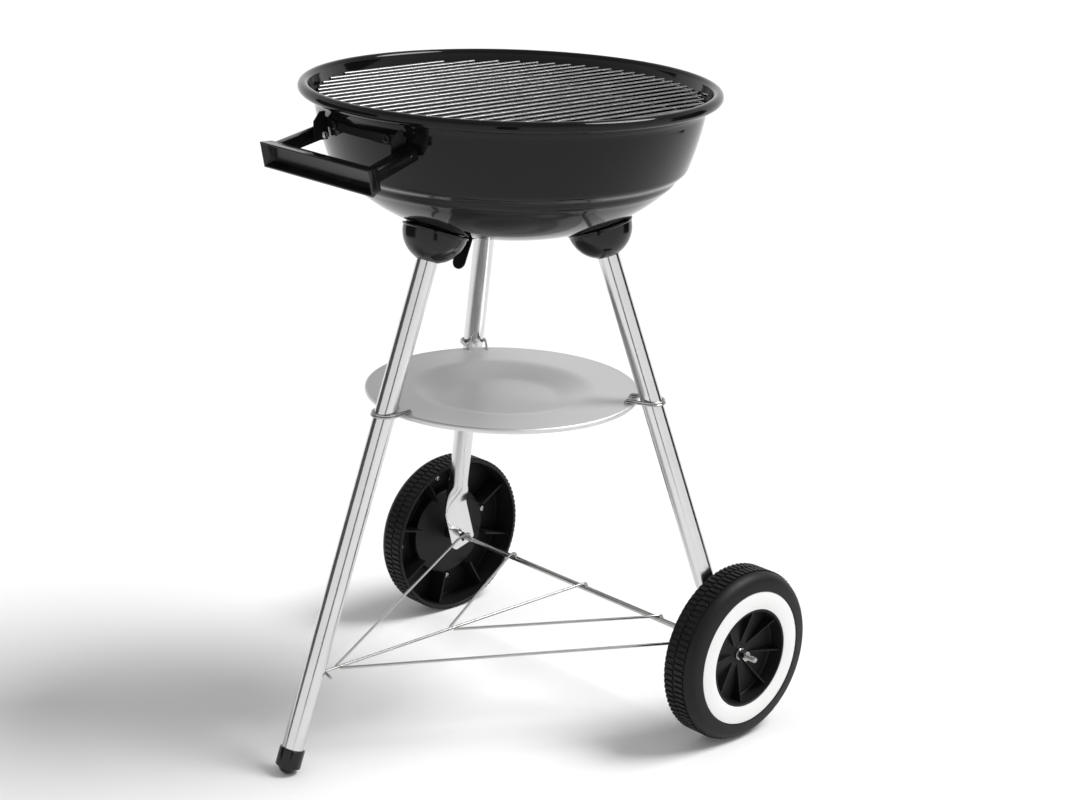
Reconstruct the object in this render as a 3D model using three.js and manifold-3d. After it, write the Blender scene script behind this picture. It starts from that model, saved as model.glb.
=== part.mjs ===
// Kettle charcoal grill: an enamelled bowl with a wire cooking grate and a charcoal grate, on three
// tubular legs. Two legs end in flattened ears that hold an axle with two wheels, the third in a foot.
// Millimetres, +Z up. The bowl's own axis is the reference while modelling, and the floor is z = 0.

import * as THREE from 'three';
import { mergeVertices } from 'three/addons/utils/BufferGeometryUtils.js';
import { ConvexGeometry } from 'three/addons/geometries/ConvexGeometry.js';
import Module from 'manifold-3d';

const wasm = await Module();
wasm.setup();

// ---- Driving dimensions -------------------------------------------------------------------------

const GAP = 0.3;                 // clearance between pieces that rest on each other

const rimHeight = 667.5;         // height of the middle of the rolled rim
const rimRadius = 213;           // outside of the rolled rim
const curlRadius = 5.8;          // outside radius of the roll's section
const sheet = 1.2;               // enamelled steel sheet of the bowl
const wallTopRadius = 197.6;
const wallTopDepth = 10.5;       // depths are measured down from the middle of the rim
const shoulderRadius = 181.2;
const shoulderDepth = 72;
const stepRadius = 173.6;
const stepDepth = 80;
const domeRadius = 186;          // radius of the arc of the bowl's bottom
const domeFlat = 35.5;           // radius of the flat middle of the bottom
const bowlDepth = 143;

const legTilt = Math.atan(0.35);
const tubeRadius = 11;
const tubeWall = 1;
const rearLegAngle = THREE.MathUtils.degToRad(31);
const flattenHeight = 172;       // where a rear leg begins to be pressed flat
const bendHeight = 129;          // where the flat ear is bent upright
const earWidth = 34;
const earLength = 50;
const earThickness = 2.4;
const socketRadius = 33;
const capRadius = 13;
const capHeight = 25.5;

const axleRadius = 3;
const axleY = 133.5;
const axleHalfLength = 254.7;
const wheelRadius = 93;
const wheelInnerX = 209.4;
const wheelWidth = 38.5;
const hubInset = 15.9;           // hub face below the outer face of the wheel
const ringInner = 53.4;
const ringOuter = 72.4;
const wheelScrewRadius = 64.5;
const wheelTurns = { left: THREE.MathUtils.degToRad(-8), right: THREE.MathUtils.degToRad(16) };
const hubRadius = 9;
const nutHeight = 8;

const plateRadius = 142.7;
const plateHeight = 353.2;
const plateDip = 11;
const plateSlopeOuter = 91;      // the flat border ends here
const plateSlopeInner = 61;      // the sunken middle begins here
const plateSheet = 1;
const clipWire = 1.4;

const braceWire = 1.5;
const outerApexY = -217.5;       // where the two outer brace wires leave the stem
const innerApexY = -63.3;        // where the two inner brace wires leave the stem
const outerHookX = 196;
const innerHookX = 116;

const tabReach = 194.6;          // radius of the back of the tabs that carry the cooking grate
const tabWidth = 14;
const grateRingRadius = 191.5;
const grateRingWire = 2.5;
const grateBarWire = 2;
const grateBarPitch = 15;
const grateRingDepth = 9;
const coalRingRadius = 171;
const coalRingDepth = 76.3;
const coalBarPitch = 26;

const handleTilt = THREE.MathUtils.degToRad(12);
const handleHalf = 82;
const handleReach = 62.5;
const handleBarHeight = 26;
const handleBarDepth = 12.5;
const handleDraft = 2.5;         // how much smaller the back of the bar is than its front, on each side
const handleLip = 2;
const handleArmHeight = 13;

const damperRadius = 33;
const ventRadius = 6;
const ventCircle = 21;
const pivotHole = 2.8;
const leverReach = 61;
const leverWidth = 16;
const leverTab = 33;             // length of the lever's end, which is folded down
const leverLean = THREE.MathUtils.degToRad(23);
const leverAngle = THREE.MathUtils.degToRad(-85);

// ---- Materials ----------------------------------------------------------------------------------

const finish = (color, roughness, metalness) =>
  new THREE.MeshStandardMaterial({ color, roughness, metalness });

const enamel = finish(0x0b0b0c, 0.12, 0);
const blackPlastic = finish(0x101011, 0.28, 0);
const tyrePlastic = finish(0x17181a, 0.55, 0);
const whitePlastic = finish(0xf2f2f0, 0.4, 0);
const chrome = finish(0xc4c6c8, 0.16, 1);
const zinc = finish(0xb4b6b8, 0.38, 1);
const satinSteel = finish(0xb9babb, 0.42, 1);
const blackSteel = finish(0x141415, 0.4, 0.3);

// ---- Solid helpers ------------------------------------------------------------------------------

// Joins shared vertices, drops flat triangles and turns the faces outwards.
function closed(geometry) {
  const bare = geometry.index ? geometry.clone() : geometry;
  bare.deleteAttribute('normal');
  bare.deleteAttribute('uv');
  const merged = mergeVertices(bare, 1e-4);
  const at = merged.getAttribute('position');
  const index = Array.from(merged.index.array);
  const corner = (i) => new THREE.Vector3().fromBufferAttribute(at, i);
  const kept = [];
  let volume = 0;
  for (let i = 0; i < index.length; i += 3) {
    const [a, b, c] = index.slice(i, i + 3);
    if (a === b || b === c || c === a) continue;
    kept.push(a, b, c);
    volume += corner(a).dot(corner(b).cross(corner(c)));
  }
  if (volume < 0) kept.reverse();
  const out = new THREE.BufferGeometry();
  out.setAttribute('position', at);
  out.setIndex(kept);
  return out;
}

function manifold(geometry) {
  const merged = closed(geometry);
  const vertProperties = new Float32Array(merged.getAttribute('position').array);
  const triVerts = new Uint32Array(merged.index.array);
  return new wasm.Manifold(new wasm.Mesh({ numProp: 3, vertProperties, triVerts }));
}

function geometryOf(body) {
  const mesh = body.getMesh();
  const out = new THREE.BufferGeometry();
  out.setAttribute('position', new THREE.BufferAttribute(mesh.vertProperties.slice(), 3));
  out.setIndex(Array.from(mesh.triVerts));
  return out;
}

const joined = (first, ...others) =>
  geometryOf(others.reduce((body, other) => body.add(manifold(other)), manifold(first)));

const cut = (first, ...others) =>
  geometryOf(others.reduce((body, other) => body.subtract(manifold(other)), manifold(first)));

// An outline of [radius, z] points turned about the z axis. It closes on itself or on the axis.
function turned(points, segments) {
  const outline = points.map(([r, z]) => new THREE.Vector2(r, z));
  return new THREE.LatheGeometry(outline, segments).rotateX(Math.PI / 2);
}

function tubeAlongZ(inner, outer, low, high, segments) {
  return turned([[inner, low], [outer, low], [outer, high], [inner, high], [inner, low]], segments);
}

function rodAlongZ(radius, low, high, sides) {
  const rod = new THREE.CylinderGeometry(radius, radius, high - low, sides);
  return rod.rotateX(Math.PI / 2).translate(0, 0, (low + high) / 2);
}

const alongX = (geometry) => geometry.rotateY(Math.PI / 2);
const alongY = (geometry) => geometry.rotateX(-Math.PI / 2);

function rodBetween(from, to, radius, sides) {
  const axis = new THREE.Vector3().subVectors(to, from);
  const rod = rodAlongZ(radius, 0, axis.length(), sides);
  const up = new THREE.Vector3(0, 0, 1);
  const turn = new THREE.Quaternion().setFromUnitVectors(up, axis.normalize());
  return rod.applyQuaternion(turn).translate(from.x, from.y, from.z);
}

// A path through the given points, with one step from each point to the next.
class Route extends THREE.Curve {
  constructor(points) {
    super();
    this.points = points;
  }

  getPoint(t) {
    const last = this.points.length - 1;
    const i = Math.min(Math.floor(t * last + 1e-6), last - 1);
    return new THREE.Vector3().lerpVectors(this.points[i], this.points[i + 1], t * last - i);
  }

  getPointAt(u) {
    return this.getPoint(u);
  }

  getTangentAt(u, target = new THREE.Vector3()) {
    const last = this.points.length - 1;
    const i = Math.round(u * last);
    const before = this.points[Math.max(i - 1, 0)];
    const after = this.points[Math.min(i + 1, last)];
    return target.subVectors(after, before).normalize();
  }
}

function circleShape(radius, sides) {
  const corners = Array.from({ length: sides }, (_, i) => {
    const turn = (i / sides) * 2 * Math.PI;
    return new THREE.Vector2(radius * Math.cos(turn), radius * Math.sin(turn));
  });
  return new THREE.Shape(corners);
}

function wire(points, radius, sides) {
  const extrudePath = new Route(points);
  const steps = points.length - 1;
  const section = circleShape(radius, sides);
  return new THREE.ExtrudeGeometry(section, { steps, extrudePath, bevelEnabled: false });
}

// Points on an arc as [across, up] pairs; angles in degrees, counter-clockwise from across.
function arc(across, up, radius, from, to, steps) {
  return Array.from({ length: steps + 1 }, (_, i) => {
    const angle = THREE.MathUtils.degToRad(from + ((to - from) * i) / steps);
    return [across + radius * Math.cos(angle), up + radius * Math.sin(angle)];
  });
}

// A line of [radius, z] points that runs inwards and down, moved to its upper side by a distance.
function offsetLine(line, distance) {
  return line.map(([r, z], i) => {
    const [r0, z0] = line[Math.max(i - 1, 0)];
    const [r1, z1] = line[Math.min(i + 1, line.length - 1)];
    const length = Math.hypot(r1 - r0, z1 - z0);
    const out = [r + (distance * (z1 - z0)) / length, z - (distance * (r1 - r0)) / length];
    return r === 0 ? [0, out[1]] : out;
  });
}

// A sheet of one thickness: its outer face follows the line and its inner face is offset from it.
function sheetOutline(line, thickness) {
  const inner = offsetLine(line, thickness);
  const outline = [...line, ...inner.reverse()];
  const onAxis = line[line.length - 1][0] === 0;
  return onAxis ? rotateToAxis(outline) : [...outline, outline[0]];
}

// Starts a closed outline at the point on the axis that its last free edge reaches.
function rotateToAxis(outline) {
  const second = outline.findIndex(([r], i) => r === 0 && outline[i - 1]?.[0] === 0);
  return [...outline.slice(second), ...outline.slice(0, second)];
}

function extruded(shape, depth) {
  return new THREE.ExtrudeGeometry(shape, { depth, bevelEnabled: false, curveSegments: 5 });
}

// A block between two upright rectangles [x0, x1, z0, z1, y].
function blockBetween(...ends) {
  return new ConvexGeometry(ends.flatMap(([x0, x1, z0, z1, y]) =>
    [[x0, z0], [x1, z0], [x1, z1], [x0, z1]].map(([x, z]) => new THREE.Vector3(x, y, z))));
}

function polygon(corners) {
  return new THREE.Shape(corners.map(([x, y]) => new THREE.Vector2(x, y)));
}

// ---- Scene helpers ------------------------------------------------------------------------------

const grill = new THREE.Group();

function addPart(name, geometry, material, parent = grill) {
  const mesh = new THREE.Mesh(closed(geometry), material);
  mesh.name = name;
  parent.add(mesh);
  return mesh;
}

const sides = [['left', -1], ['right', 1]];
const quarterTurns = [0, 1, 2, 3].map((i) => (i * Math.PI) / 2);

// A frame on the bowl's bottom whose z axis runs up along a leg; x points away from the bowl's axis.
const seatRadius = domeFlat + domeRadius * Math.sin(legTilt);
const seatHeight = rimHeight - bowlDepth + domeRadius * (1 - Math.cos(legTilt));

function legMatrix(azimuth) {
  const turn = new THREE.Matrix4().makeRotationZ(azimuth);
  const shift = new THREE.Matrix4().makeTranslation(seatRadius, 0, seatHeight);
  const tilt = new THREE.Matrix4().makeRotationY(-legTilt);
  return turn.multiply(shift).multiply(tilt);
}

const legRadiusAt = (height) => seatRadius + (seatHeight - height) * Math.tan(legTilt);
const alongLeg = (height) => (height - seatHeight) / Math.cos(legTilt);

const legs = [
  ['front', -Math.PI / 2],
  ['left', Math.PI - rearLegAngle],
  ['right', rearLegAngle],
];

const legGroups = Object.fromEntries(legs.map(([name, azimuth]) => {
  const frame = new THREE.Group();
  frame.applyMatrix4(legMatrix(azimuth));
  grill.add(frame);
  return [name, frame];
}));

// ---- Bowl ---------------------------------------------------------------------------------------

const CURL_STEPS = 5;

// The outer face of the bowl's wall, which is the inner face of the roll that turns outwards at the
// rim: from the roll's free edge down to the middle of the bottom.
function bowlLine() {
  const curl = arc(rimRadius - curlRadius, 0, curlRadius - sheet, -130, 180, CURL_STEPS);
  const flare = [[wallTopRadius + 2.4, -wallTopDepth / 2]];
  const wall = new THREE.QuadraticBezierCurve(
    new THREE.Vector2(wallTopRadius, -wallTopDepth),
    new THREE.Vector2(wallTopRadius - 4.8, -(wallTopDepth + shoulderDepth) / 2),
    new THREE.Vector2(shoulderRadius, -shoulderDepth),
  ).getPoints(2).map((point) => [point.x, point.y]);
  const step = [[shoulderRadius - 2.6, -shoulderDepth - 4.6], [stepRadius, -stepDepth]];
  const dome = arc(domeFlat, domeRadius - bowlDepth, domeRadius, -45, -90, 5);
  const line = [...curl, ...flare, ...wall, ...step, ...dome, [0, -bowlDepth]];
  return line.map(([r, depth]) => [r, rimHeight + depth]);
}

const legBoltHole = 3.3;
const strapBoltAngles = [-0.2, 0.2];
const strapHeight = rimHeight - 23;

function strapBoltRod(angle, radius, from, to, rodSides) {
  return alongY(rodAlongZ(radius, from, to, rodSides)).rotateX(Math.PI)
    .rotateZ(angle).translate(0, 0, strapHeight);
}

function makeBowl() {
  const shell = turned(sheetOutline(bowlLine(), sheet), 40);
  const vents = quarterTurns.map((turn) =>
    rodAlongZ(ventRadius, rimHeight - bowlDepth - 5, rimHeight - bowlDepth + 5, 10)
      .translate(ventCircle, 0, 0).rotateZ(leverAngle + turn));
  const middle = rodAlongZ(pivotHole, rimHeight - bowlDepth - 5, rimHeight - bowlDepth + 5, 10);
  const legHoles = legs.map(([, azimuth]) =>
    rodAlongZ(legBoltHole, -8, 8, 10).applyMatrix4(legMatrix(azimuth)));
  const strapHoles = strapBoltAngles.map((angle) => strapBoltRod(angle, 2.3, 180, 205, 8));
  addPart('bowl', cut(shell, ...vents, middle, ...legHoles, ...strapHoles), enamel);
}

// ---- Leg sockets, bolts and plugs ---------------------------------------------------------------

// A solid as large as the bowl and everything above it, used to seat the sockets on its curved bottom.
function bowlEnvelope() {
  const line = offsetLine(bowlLine(), -GAP - 0.1).slice(CURL_STEPS + 1);
  const top = line[0];
  return turned([[0, top[1] + 1], [top[0], top[1] + 1], ...line], 60);
}

function makeSockets() {
  const blank = turned([
    [legBoltHole, -4], [tubeRadius + GAP, -4],
    ...arc(0, 0, socketRadius, -70, -2, 4),
    [socketRadius + 1.2, -1], [socketRadius + 1.2, 0.6], [socketRadius - 3, 1.2],
    [socketRadius - 8, 5], [legBoltHole, 5], [legBoltHole, -4],
  ], 18);
  const seat = bowlEnvelope().applyMatrix4(legMatrix(0).invert());
  const socket = cut(blank, seat);
  const bolt = turned([
    [0, -26], [3, -26], [3, 2.2], [6, 2.2], [5.2, 5.4], [0, 5.4],
  ], 10);
  const plug = tubeAlongZ(legBoltHole, tubeRadius - tubeWall - GAP, -22, -8, 12);
  for (const [name] of legs) {
    addPart(`leg_socket_${name}`, socket, blackPlastic, legGroups[name]);
    addPart(`leg_bolt_${name}`, bolt, zinc, legGroups[name]);
    addPart(`leg_plug_${name}`, plug, blackPlastic, legGroups[name]);
  }
}

// ---- Legs ---------------------------------------------------------------------------------------

const tubeTop = -4.5;
const capBallHeight = 11;
const stemHeight = wheelRadius + axleRadius + GAP + braceWire;

function makeFrontLeg() {
  const ball = alongLeg(capBallHeight);
  const tube = tubeAlongZ(tubeRadius - tubeWall, tubeRadius, ball + 5, tubeTop, 20);
  const stemHole = alongY(rodAlongZ(braceWire + GAP, 20, legRadiusAt(stemHeight) - 2, 8)).rotateX(Math.PI)
    .translate(0, 0, stemHeight).applyMatrix4(legMatrix(-Math.PI / 2).invert());
  addPart('leg_tube_front', cut(tube, stemHole), chrome, legGroups.front);

  const cap = turned([
    [0, ball + 4], [tubeRadius + GAP, ball + 4], [tubeRadius + GAP, alongLeg(capHeight)],
    [capRadius, alongLeg(capHeight)], ...arc(0, ball, capRadius, 0, -90, 4),
  ], 16);
  const floor = new THREE.BoxGeometry(90, 90, 40).translate(0, -legRadiusAt(0), -20);
  const foot = cut(cap, floor.applyMatrix4(legMatrix(-Math.PI / 2).invert()));
  addPart('foot_cap', foot, blackPlastic, legGroups.front);
}

// A rear leg on the right: a tube, a stretch pressed flat, and an upright ear with the axle hole.
function rearLegGeometry() {
  const frame = legMatrix(rearLegAngle);
  const flat = alongLeg(flattenHeight);
  const tube = tubeAlongZ(tubeRadius - tubeWall, tubeRadius, flat, tubeTop, 20).applyMatrix4(frame);

  const bend = new THREE.Vector3(
    legRadiusAt(bendHeight) * Math.cos(rearLegAngle),
    legRadiusAt(bendHeight) * Math.sin(rearLegAngle),
    bendHeight,
  );
  const down = new THREE.Vector3(0, axleY - bend.y, wheelRadius - bend.z).normalize();
  const across = new THREE.Vector3(0, -down.z, down.y);
  const thick = new THREE.Vector3(1, 0, 0);
  const ear = new THREE.Matrix4().makeBasis(across, down, thick).setPosition(bend);

  const rings = [1, -1].flatMap((level) => circleShape(tubeRadius - 0.2, 12).getPoints()
    .map((point) => new THREE.Vector3(point.x, point.y, flat + level).applyMatrix4(frame)));
  const edge = [[-1, -1], [1, -1], [1, 1], [-1, 1]].map(([w, t]) =>
    new THREE.Vector3(w * (earWidth / 2 - 0.3), 2, t * (earThickness / 2 - 0.2)).applyMatrix4(ear));
  const pressed = new ConvexGeometry([...rings, ...edge]);

  const half = earWidth / 2;
  const outline = new THREE.Shape();
  outline.moveTo(-half, 0);
  outline.lineTo(half, 0);
  outline.lineTo(half, earLength - 7);
  outline.quadraticCurveTo(half, earLength, half - 7, earLength);
  outline.lineTo(7 - half, earLength);
  outline.quadraticCurveTo(-half, earLength, -half, earLength - 7);
  const plate = extruded(outline, earThickness).translate(0, 0, -earThickness / 2).applyMatrix4(ear);

  const holeX = bend.x - 10;
  const axleHole = alongX(rodAlongZ(axleRadius + GAP, 0, 20, 12)).translate(holeX, axleY, wheelRadius);
  const slot = down.clone().multiplyScalar(4.6);
  const keyHole = alongX(rodAlongZ(2.2, 0, 20, 10))
    .translate(holeX, axleY + slot.y, wheelRadius + slot.z);
  return cut(joined(tube, pressed, plate), axleHole, keyHole);
}

function makeRearLegs() {
  const leg = rearLegGeometry();
  for (const [name, side] of sides) {
    addPart(`leg_tube_${name}`, leg.clone().scale(side, 1, 1), chrome);
  }
}

// ---- Axle and wheels ----------------------------------------------------------------------------

const washerSheet = 1.4;
const innerWasherRadius = 7;
const hubWasherRadius = 6.5;
const nutCorner = 5.8;                // radius over the corners of the axle's nut

function makeAxle() {
  const line = new THREE.Group();
  line.position.set(0, axleY, wheelRadius);
  grill.add(line);
  addPart('axle', alongX(rodAlongZ(axleRadius, -axleHalfLength, axleHalfLength, 24)), zinc, line);

  const earFace = legRadiusAt(bendHeight) * Math.cos(rearLegAngle) + earThickness / 2;
  const hubFace = wheelInnerX + wheelWidth - hubInset;
  const inner = alongX(tubeAlongZ(axleRadius + GAP, innerWasherRadius, 0, washerSheet, 14))
    .translate(earFace + GAP, 0, 0);
  const outer = alongX(tubeAlongZ(axleRadius + GAP, hubWasherRadius, 0, washerSheet, 16))
    .translate(hubFace + 0.4, 0, 0);
  const hexagon = circleShape(nutCorner, 6);
  hexagon.holes.push(circleShape(axleRadius + GAP, 12));
  const nut = alongX(extruded(hexagon, nutHeight)).translate(hubFace + 0.4 + washerSheet + GAP, 0, 0);
  for (const [name, side] of sides) {
    addPart(`axle_inner_washer_${name}`, inner.clone().scale(side, 1, 1), blackPlastic, line);
    addPart(`axle_washer_${name}`, outer.clone().scale(side, 1, 1), zinc, line);
    addPart(`axle_nut_${name}`, nut.clone().scale(side, 1, 1), zinc, line);
  }
}

const webTop = wheelWidth - 4.3;      // outer side of the web under the white ring
const webBottom = webTop - 2.8;
const panFloor = wheelWidth - hubInset - 1.1;
const boreRadius = axleRadius + 0.1;
const drumRadius = 51.6;              // the drum that holds the middle of the wheel, seen from inside
const treadInnerRadius = 87.5;

// Wheel section: x runs from the inner face, on the leg's side, to the outer face.
function wheelOutline() {
  return [
    [boreRadius, -0.9], [hubRadius, -0.9], [hubRadius, panFloor - 3], [drumRadius, panFloor - 3],
    [drumRadius, webBottom], [treadInnerRadius, webBottom], [treadInnerRadius, 0],
    [wheelRadius - 2, 0], [wheelRadius, 4],
    [wheelRadius, wheelWidth - 9],
    ...arc(wheelRadius - 14, wheelWidth - 9, 9.2, 50, 90, 2).map(([r, x]) => [r + 4.6, x]),
    [ringOuter + GAP, wheelWidth - 0.4], [ringOuter + GAP, webTop], [ringInner - GAP, webTop],
    [ringInner - GAP, wheelWidth - 0.6], [50.4, wheelWidth - 1.4], [49, panFloor],
    [hubRadius + 1, panFloor], [hubRadius, wheelWidth - hubInset], [boreRadius, wheelWidth - hubInset],
    [boreRadius, -0.9],
  ];
}

function makeWheelBody() {
  const body = turned(wheelOutline(), 32);
  const turns = Array.from({ length: 8 }, (_, i) => ((2 * i + 1) * Math.PI) / 8);
  const ribs = turns.map((turn) =>
    new THREE.BoxGeometry(37, 1.8, 26).translate(69.6, 0, webBottom - 12.5).rotateZ(turn));
  const fins = turns.map((turn) => {
    const fin = polygon([[13, panFloor - 0.5], [50, panFloor - 0.5], [50, wheelWidth - 4]]);
    return extruded(fin, 1.4).rotateX(Math.PI / 2).translate(0, 0.7, 0).rotateZ(turn);
  });
  const screwHoles = quarterTurns.map((turn) =>
    rodAlongZ(2.1, webBottom - 3, webTop + 3, 8).translate(wheelScrewRadius, 0, 0).rotateZ(turn));
  return cut(joined(body, ...ribs, ...fins), ...screwHoles);
}

function makeWhiteRing() {
  const middle = (ringInner + ringOuter) / 2;
  const ring = turned([
    [ringInner, webTop + GAP], [ringOuter, webTop + GAP], [ringOuter, wheelWidth - 0.9],
    [middle, wheelWidth], [ringInner, wheelWidth - 0.9], [ringInner, webTop + GAP],
  ], 32);
  const pilots = quarterTurns.map((turn) =>
    rodAlongZ(1.9, webTop - 1, webTop + 2.4, 8).translate(wheelScrewRadius, 0, 0).rotateZ(turn));
  return cut(ring, ...pilots);
}

function makeWheels() {
  const wheel = makeWheelBody();
  const ring = makeWhiteRing();
  const screw = turned([
    [0, webTop + 1.8], [1.6, webTop + 1.8], [1.6, webBottom - GAP], [3.6, webBottom - GAP],
    [3, webBottom - 2.6], [0, webBottom - 2.6],
  ], 8).translate(wheelScrewRadius, 0, 0);
  for (const [name, side] of sides) {
    const hub = new THREE.Group();
    hub.position.set(side * wheelInnerX, axleY, wheelRadius);
    hub.rotation.y = (side * Math.PI) / 2;
    grill.add(hub);
    addPart(`wheel_${name}`, wheel, tyrePlastic, hub).rotation.z = wheelTurns[name];
    addPart(`white_ring_${name}`, ring, whitePlastic, hub).rotation.z = wheelTurns[name];
    quarterTurns.forEach((turn, i) => {
      addPart(`ring_screw_${name}_${i + 1}`, screw, zinc, hub).rotation.z = wheelTurns[name] + turn;
    });
  }
}

// ---- Wire brace ---------------------------------------------------------------------------------

// A straight wire on the level of the stem that ends in a hook over the axle.
function hookedWire(startX, startY, endX) {
  const reach = axleRadius + GAP + braceWire;
  const start = new THREE.Vector3(startX, startY, stemHeight);
  const hook = arc(axleY, wheelRadius, reach, 90, -50, 6)
    .map(([y, z]) => new THREE.Vector3(endX, y, z));
  const turn = new THREE.Vector3().lerpVectors(start, new THREE.Vector3(endX, axleY, stemHeight), 0.95);
  turn.x = THREE.MathUtils.lerp(startX, endX, 0.97);
  return wire([start, turn, ...hook], braceWire, 7);
}

function makeBrace() {
  const inTube = -(legRadiusAt(stemHeight) - 4);
  const stem = hookedWire(0, inTube, 0);
  const stopY = -(legRadiusAt(stemHeight) - tubeRadius / Math.cos(legTilt) - 3);
  const stop = rodBetween(
    new THREE.Vector3(-7, stopY, stemHeight + 2),
    new THREE.Vector3(13, stopY - 1, stemHeight - 2.6), braceWire, 7);
  addPart('brace_stem', joined(stem, stop), zinc);
  for (const [name, side] of sides) {
    const beside = side * (2 * braceWire + GAP);
    addPart(`brace_outer_${name}`, hookedWire(beside, outerApexY, side * outerHookX), zinc);
    addPart(`brace_inner_${name}`, hookedWire(beside, innerApexY, side * innerHookX), zinc);
  }
}

// ---- Ash plate and its clips --------------------------------------------------------------------

const clipHoleRadius = 134;
const clipHoleSide = 10;

function makeAshPlate() {
  const line = [
    [plateRadius - 2.6, -2.8], [plateRadius - 0.4, -1.6], [plateRadius - 0.4, -0.3],
    [plateRadius - 2.4, 0.5], [plateSlopeOuter, 0], [plateSlopeInner, -plateDip], [0, -plateDip],
  ].map(([r, z]) => [r, plateHeight + z]);
  const inner = offsetLine(line, plateSheet);
  const plate = turned(rotateToAxis([...line, ...inner.reverse()]), 36);
  const holes = legs.flatMap(([, azimuth]) => [-clipHoleSide, clipHoleSide].map((across) =>
    rodAlongZ(clipWire + 3 * GAP, plateHeight - 8, plateHeight + 8, 8)
      .translate(clipHoleRadius, across, 0).rotateZ(azimuth)));
  addPart('ash_plate', cut(plate, ...holes), satinSteel);
}

function makeClips() {
  const level = plateHeight + plateSheet + 3 * GAP + clipWire;
  const leg = legRadiusAt(level);
  const loopRadius = tubeRadius / Math.cos(legTilt) + GAP + clipWire + 0.3;
  const loop = arc(leg, 0, loopRadius, 90, -90, 8).map(([x, y]) => [x, y, level]);
  const arm = (side) => [
    [clipHoleRadius, side * clipHoleSide, level - 9],
    [clipHoleRadius, side * clipHoleSide, level - 1.4],
    [clipHoleRadius + 1.4, side * clipHoleSide, level],
  ];
  const points = [...arm(1), ...loop, ...arm(-1).reverse()];
  const clip = wire(points.map((point) => new THREE.Vector3(...point)), clipWire, 7);
  for (const [name, azimuth] of legs) {
    addPart(`plate_clip_${name}`, clip, zinc).rotation.z = azimuth;
  }
}

// ---- Handle -------------------------------------------------------------------------------------

const strapInner = 196.2;
const strapSheet = 1.6;
const strapWidth = 8;
const earX = 58;
const earPoints = [                    // distance from the bowl's axis, and height over the strap's middle
  [187.5, -17], [187.5, 4.5], [191, 6], [191, 11], [197, 11], [204.5, 2], [204.5, -17],
];
const handleDistance = 190;
const handleDrop = 26.3;               // from the rim down to the handle's own origin
const armFront = [66.5, 79];           // inner and outer x of an arm where it meets the bar
const armBack = [60, 72.5];            // and at its end on the strap's ear
const handleScrewY = -3;
const handleScrewZ = -8;

// The handle's own frame: z = 0 is its top face, and -y points away from the bowl.
function makeHandle() {
  const frame = new THREE.Group();
  frame.position.set(0, -handleDistance, rimHeight - handleDrop);
  frame.rotation.x = handleTilt;
  grill.add(frame);

  const barBack = handleReach - handleBarDepth;
  // The bar's outer form, or with an inset its recess, whose front stands a little proud to cut clean.
  const tray = (inset, depth) => {
    const wide = handleHalf - inset;
    const narrow = wide - (handleDraft * depth) / handleBarDepth;
    const shrink = wide - narrow;
    return blockBetween(
      [-wide, wide, inset - handleBarHeight, -inset, -handleReach - 0.01 * inset],
      [-narrow, narrow, inset - handleBarHeight + shrink, -inset - shrink, depth - handleReach]);
  };
  const bar = tray(0, handleBarDepth);
  const recess = tray(handleLip, handleBarDepth - handleLip);
  const armTop = -handleDraft - 0.4;
  const arms = sides.map(([, side]) => blockBetween(
    [side * armFront[0], side * armFront[1], armTop - handleArmHeight, armTop, -barBack - 1],
    [side * armBack[0], side * armBack[1], -0.3 - handleArmHeight, -0.3, 4]));
  const screwHole = alongX(rodAlongZ(2.3, -90, 90, 8)).translate(0, handleScrewY, handleScrewZ);
  const body = cut(joined(bar, ...arms), recess, screwHole);
  addPart('handle', body, blackPlastic, frame);

  const screw = turned([
    [0, 14], [2, 14], [2, 0], [4.2, 0], [3.4, -2.4], [0, -2.4],
  ], 8);
  for (const [name, side] of sides) {
    const placed = addPart(`handle_screw_${name}`, screw, zinc, frame);
    placed.position.set(side * (earX - strapSheet / 2 - GAP), handleScrewY, handleScrewZ);
    placed.rotation.y = (side * Math.PI) / 2;
  }
}

// A curved steel strap under the rim, with two ears that the handle's arms are screwed to.
function makeHandleStrap() {
  const half = Math.asin(earX / strapInner);
  const middle = -Math.PI / 2;
  const band = new THREE.Shape();
  band.absarc(0, 0, strapInner + strapSheet, middle - half, middle + half, false);
  band.absarc(0, 0, strapInner, middle + half, middle - half, true);
  const strap = extruded(band, strapWidth).translate(0, 0, strapHeight - strapWidth / 2);
  const ears = sides.map(([, side]) => extruded(polygon(earPoints), strapSheet).rotateX(Math.PI / 2)
    .rotateZ(-Math.PI / 2).translate(side * earX + strapSheet / 2, 0, strapHeight));
  const handleHole = alongX(rodAlongZ(2.3, -90, 90, 8)).translate(0, handleScrewY, handleScrewZ)
    .applyMatrix4(new THREE.Matrix4().makeRotationX(handleTilt))
    .translate(0, -handleDistance, rimHeight - handleDrop);
  const boltHoles = strapBoltAngles.map((angle) => strapBoltRod(angle, 2.3, 190, 205, 8));
  addPart('handle_strap', cut(joined(strap, ...ears), handleHole, ...boltHoles), blackSteel);

  const face = strapInner + strapSheet + GAP;
  const bolt = turned([
    [0, 186.5], [2, 186.5], [2, face], [4.2, face], [3.4, face + 2.4], [0, face + 2.4],
  ], 8);
  const hexagon = circleShape(4, 6);
  hexagon.holes.push(circleShape(2.3, 8));
  const nut = extruded(hexagon, 3).translate(0, 0, 188.8);
  const place = (geometry, angle) =>
    alongY(geometry.clone()).rotateX(Math.PI).rotateZ(angle).translate(0, 0, strapHeight);
  sides.forEach(([name], i) => {
    addPart(`strap_bolt_${name}`, place(bolt, strapBoltAngles[i]), blackSteel);
    addPart(`strap_nut_${name}`, place(nut, strapBoltAngles[i]), blackSteel);
  });
}

// ---- Grates -------------------------------------------------------------------------------------

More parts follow.
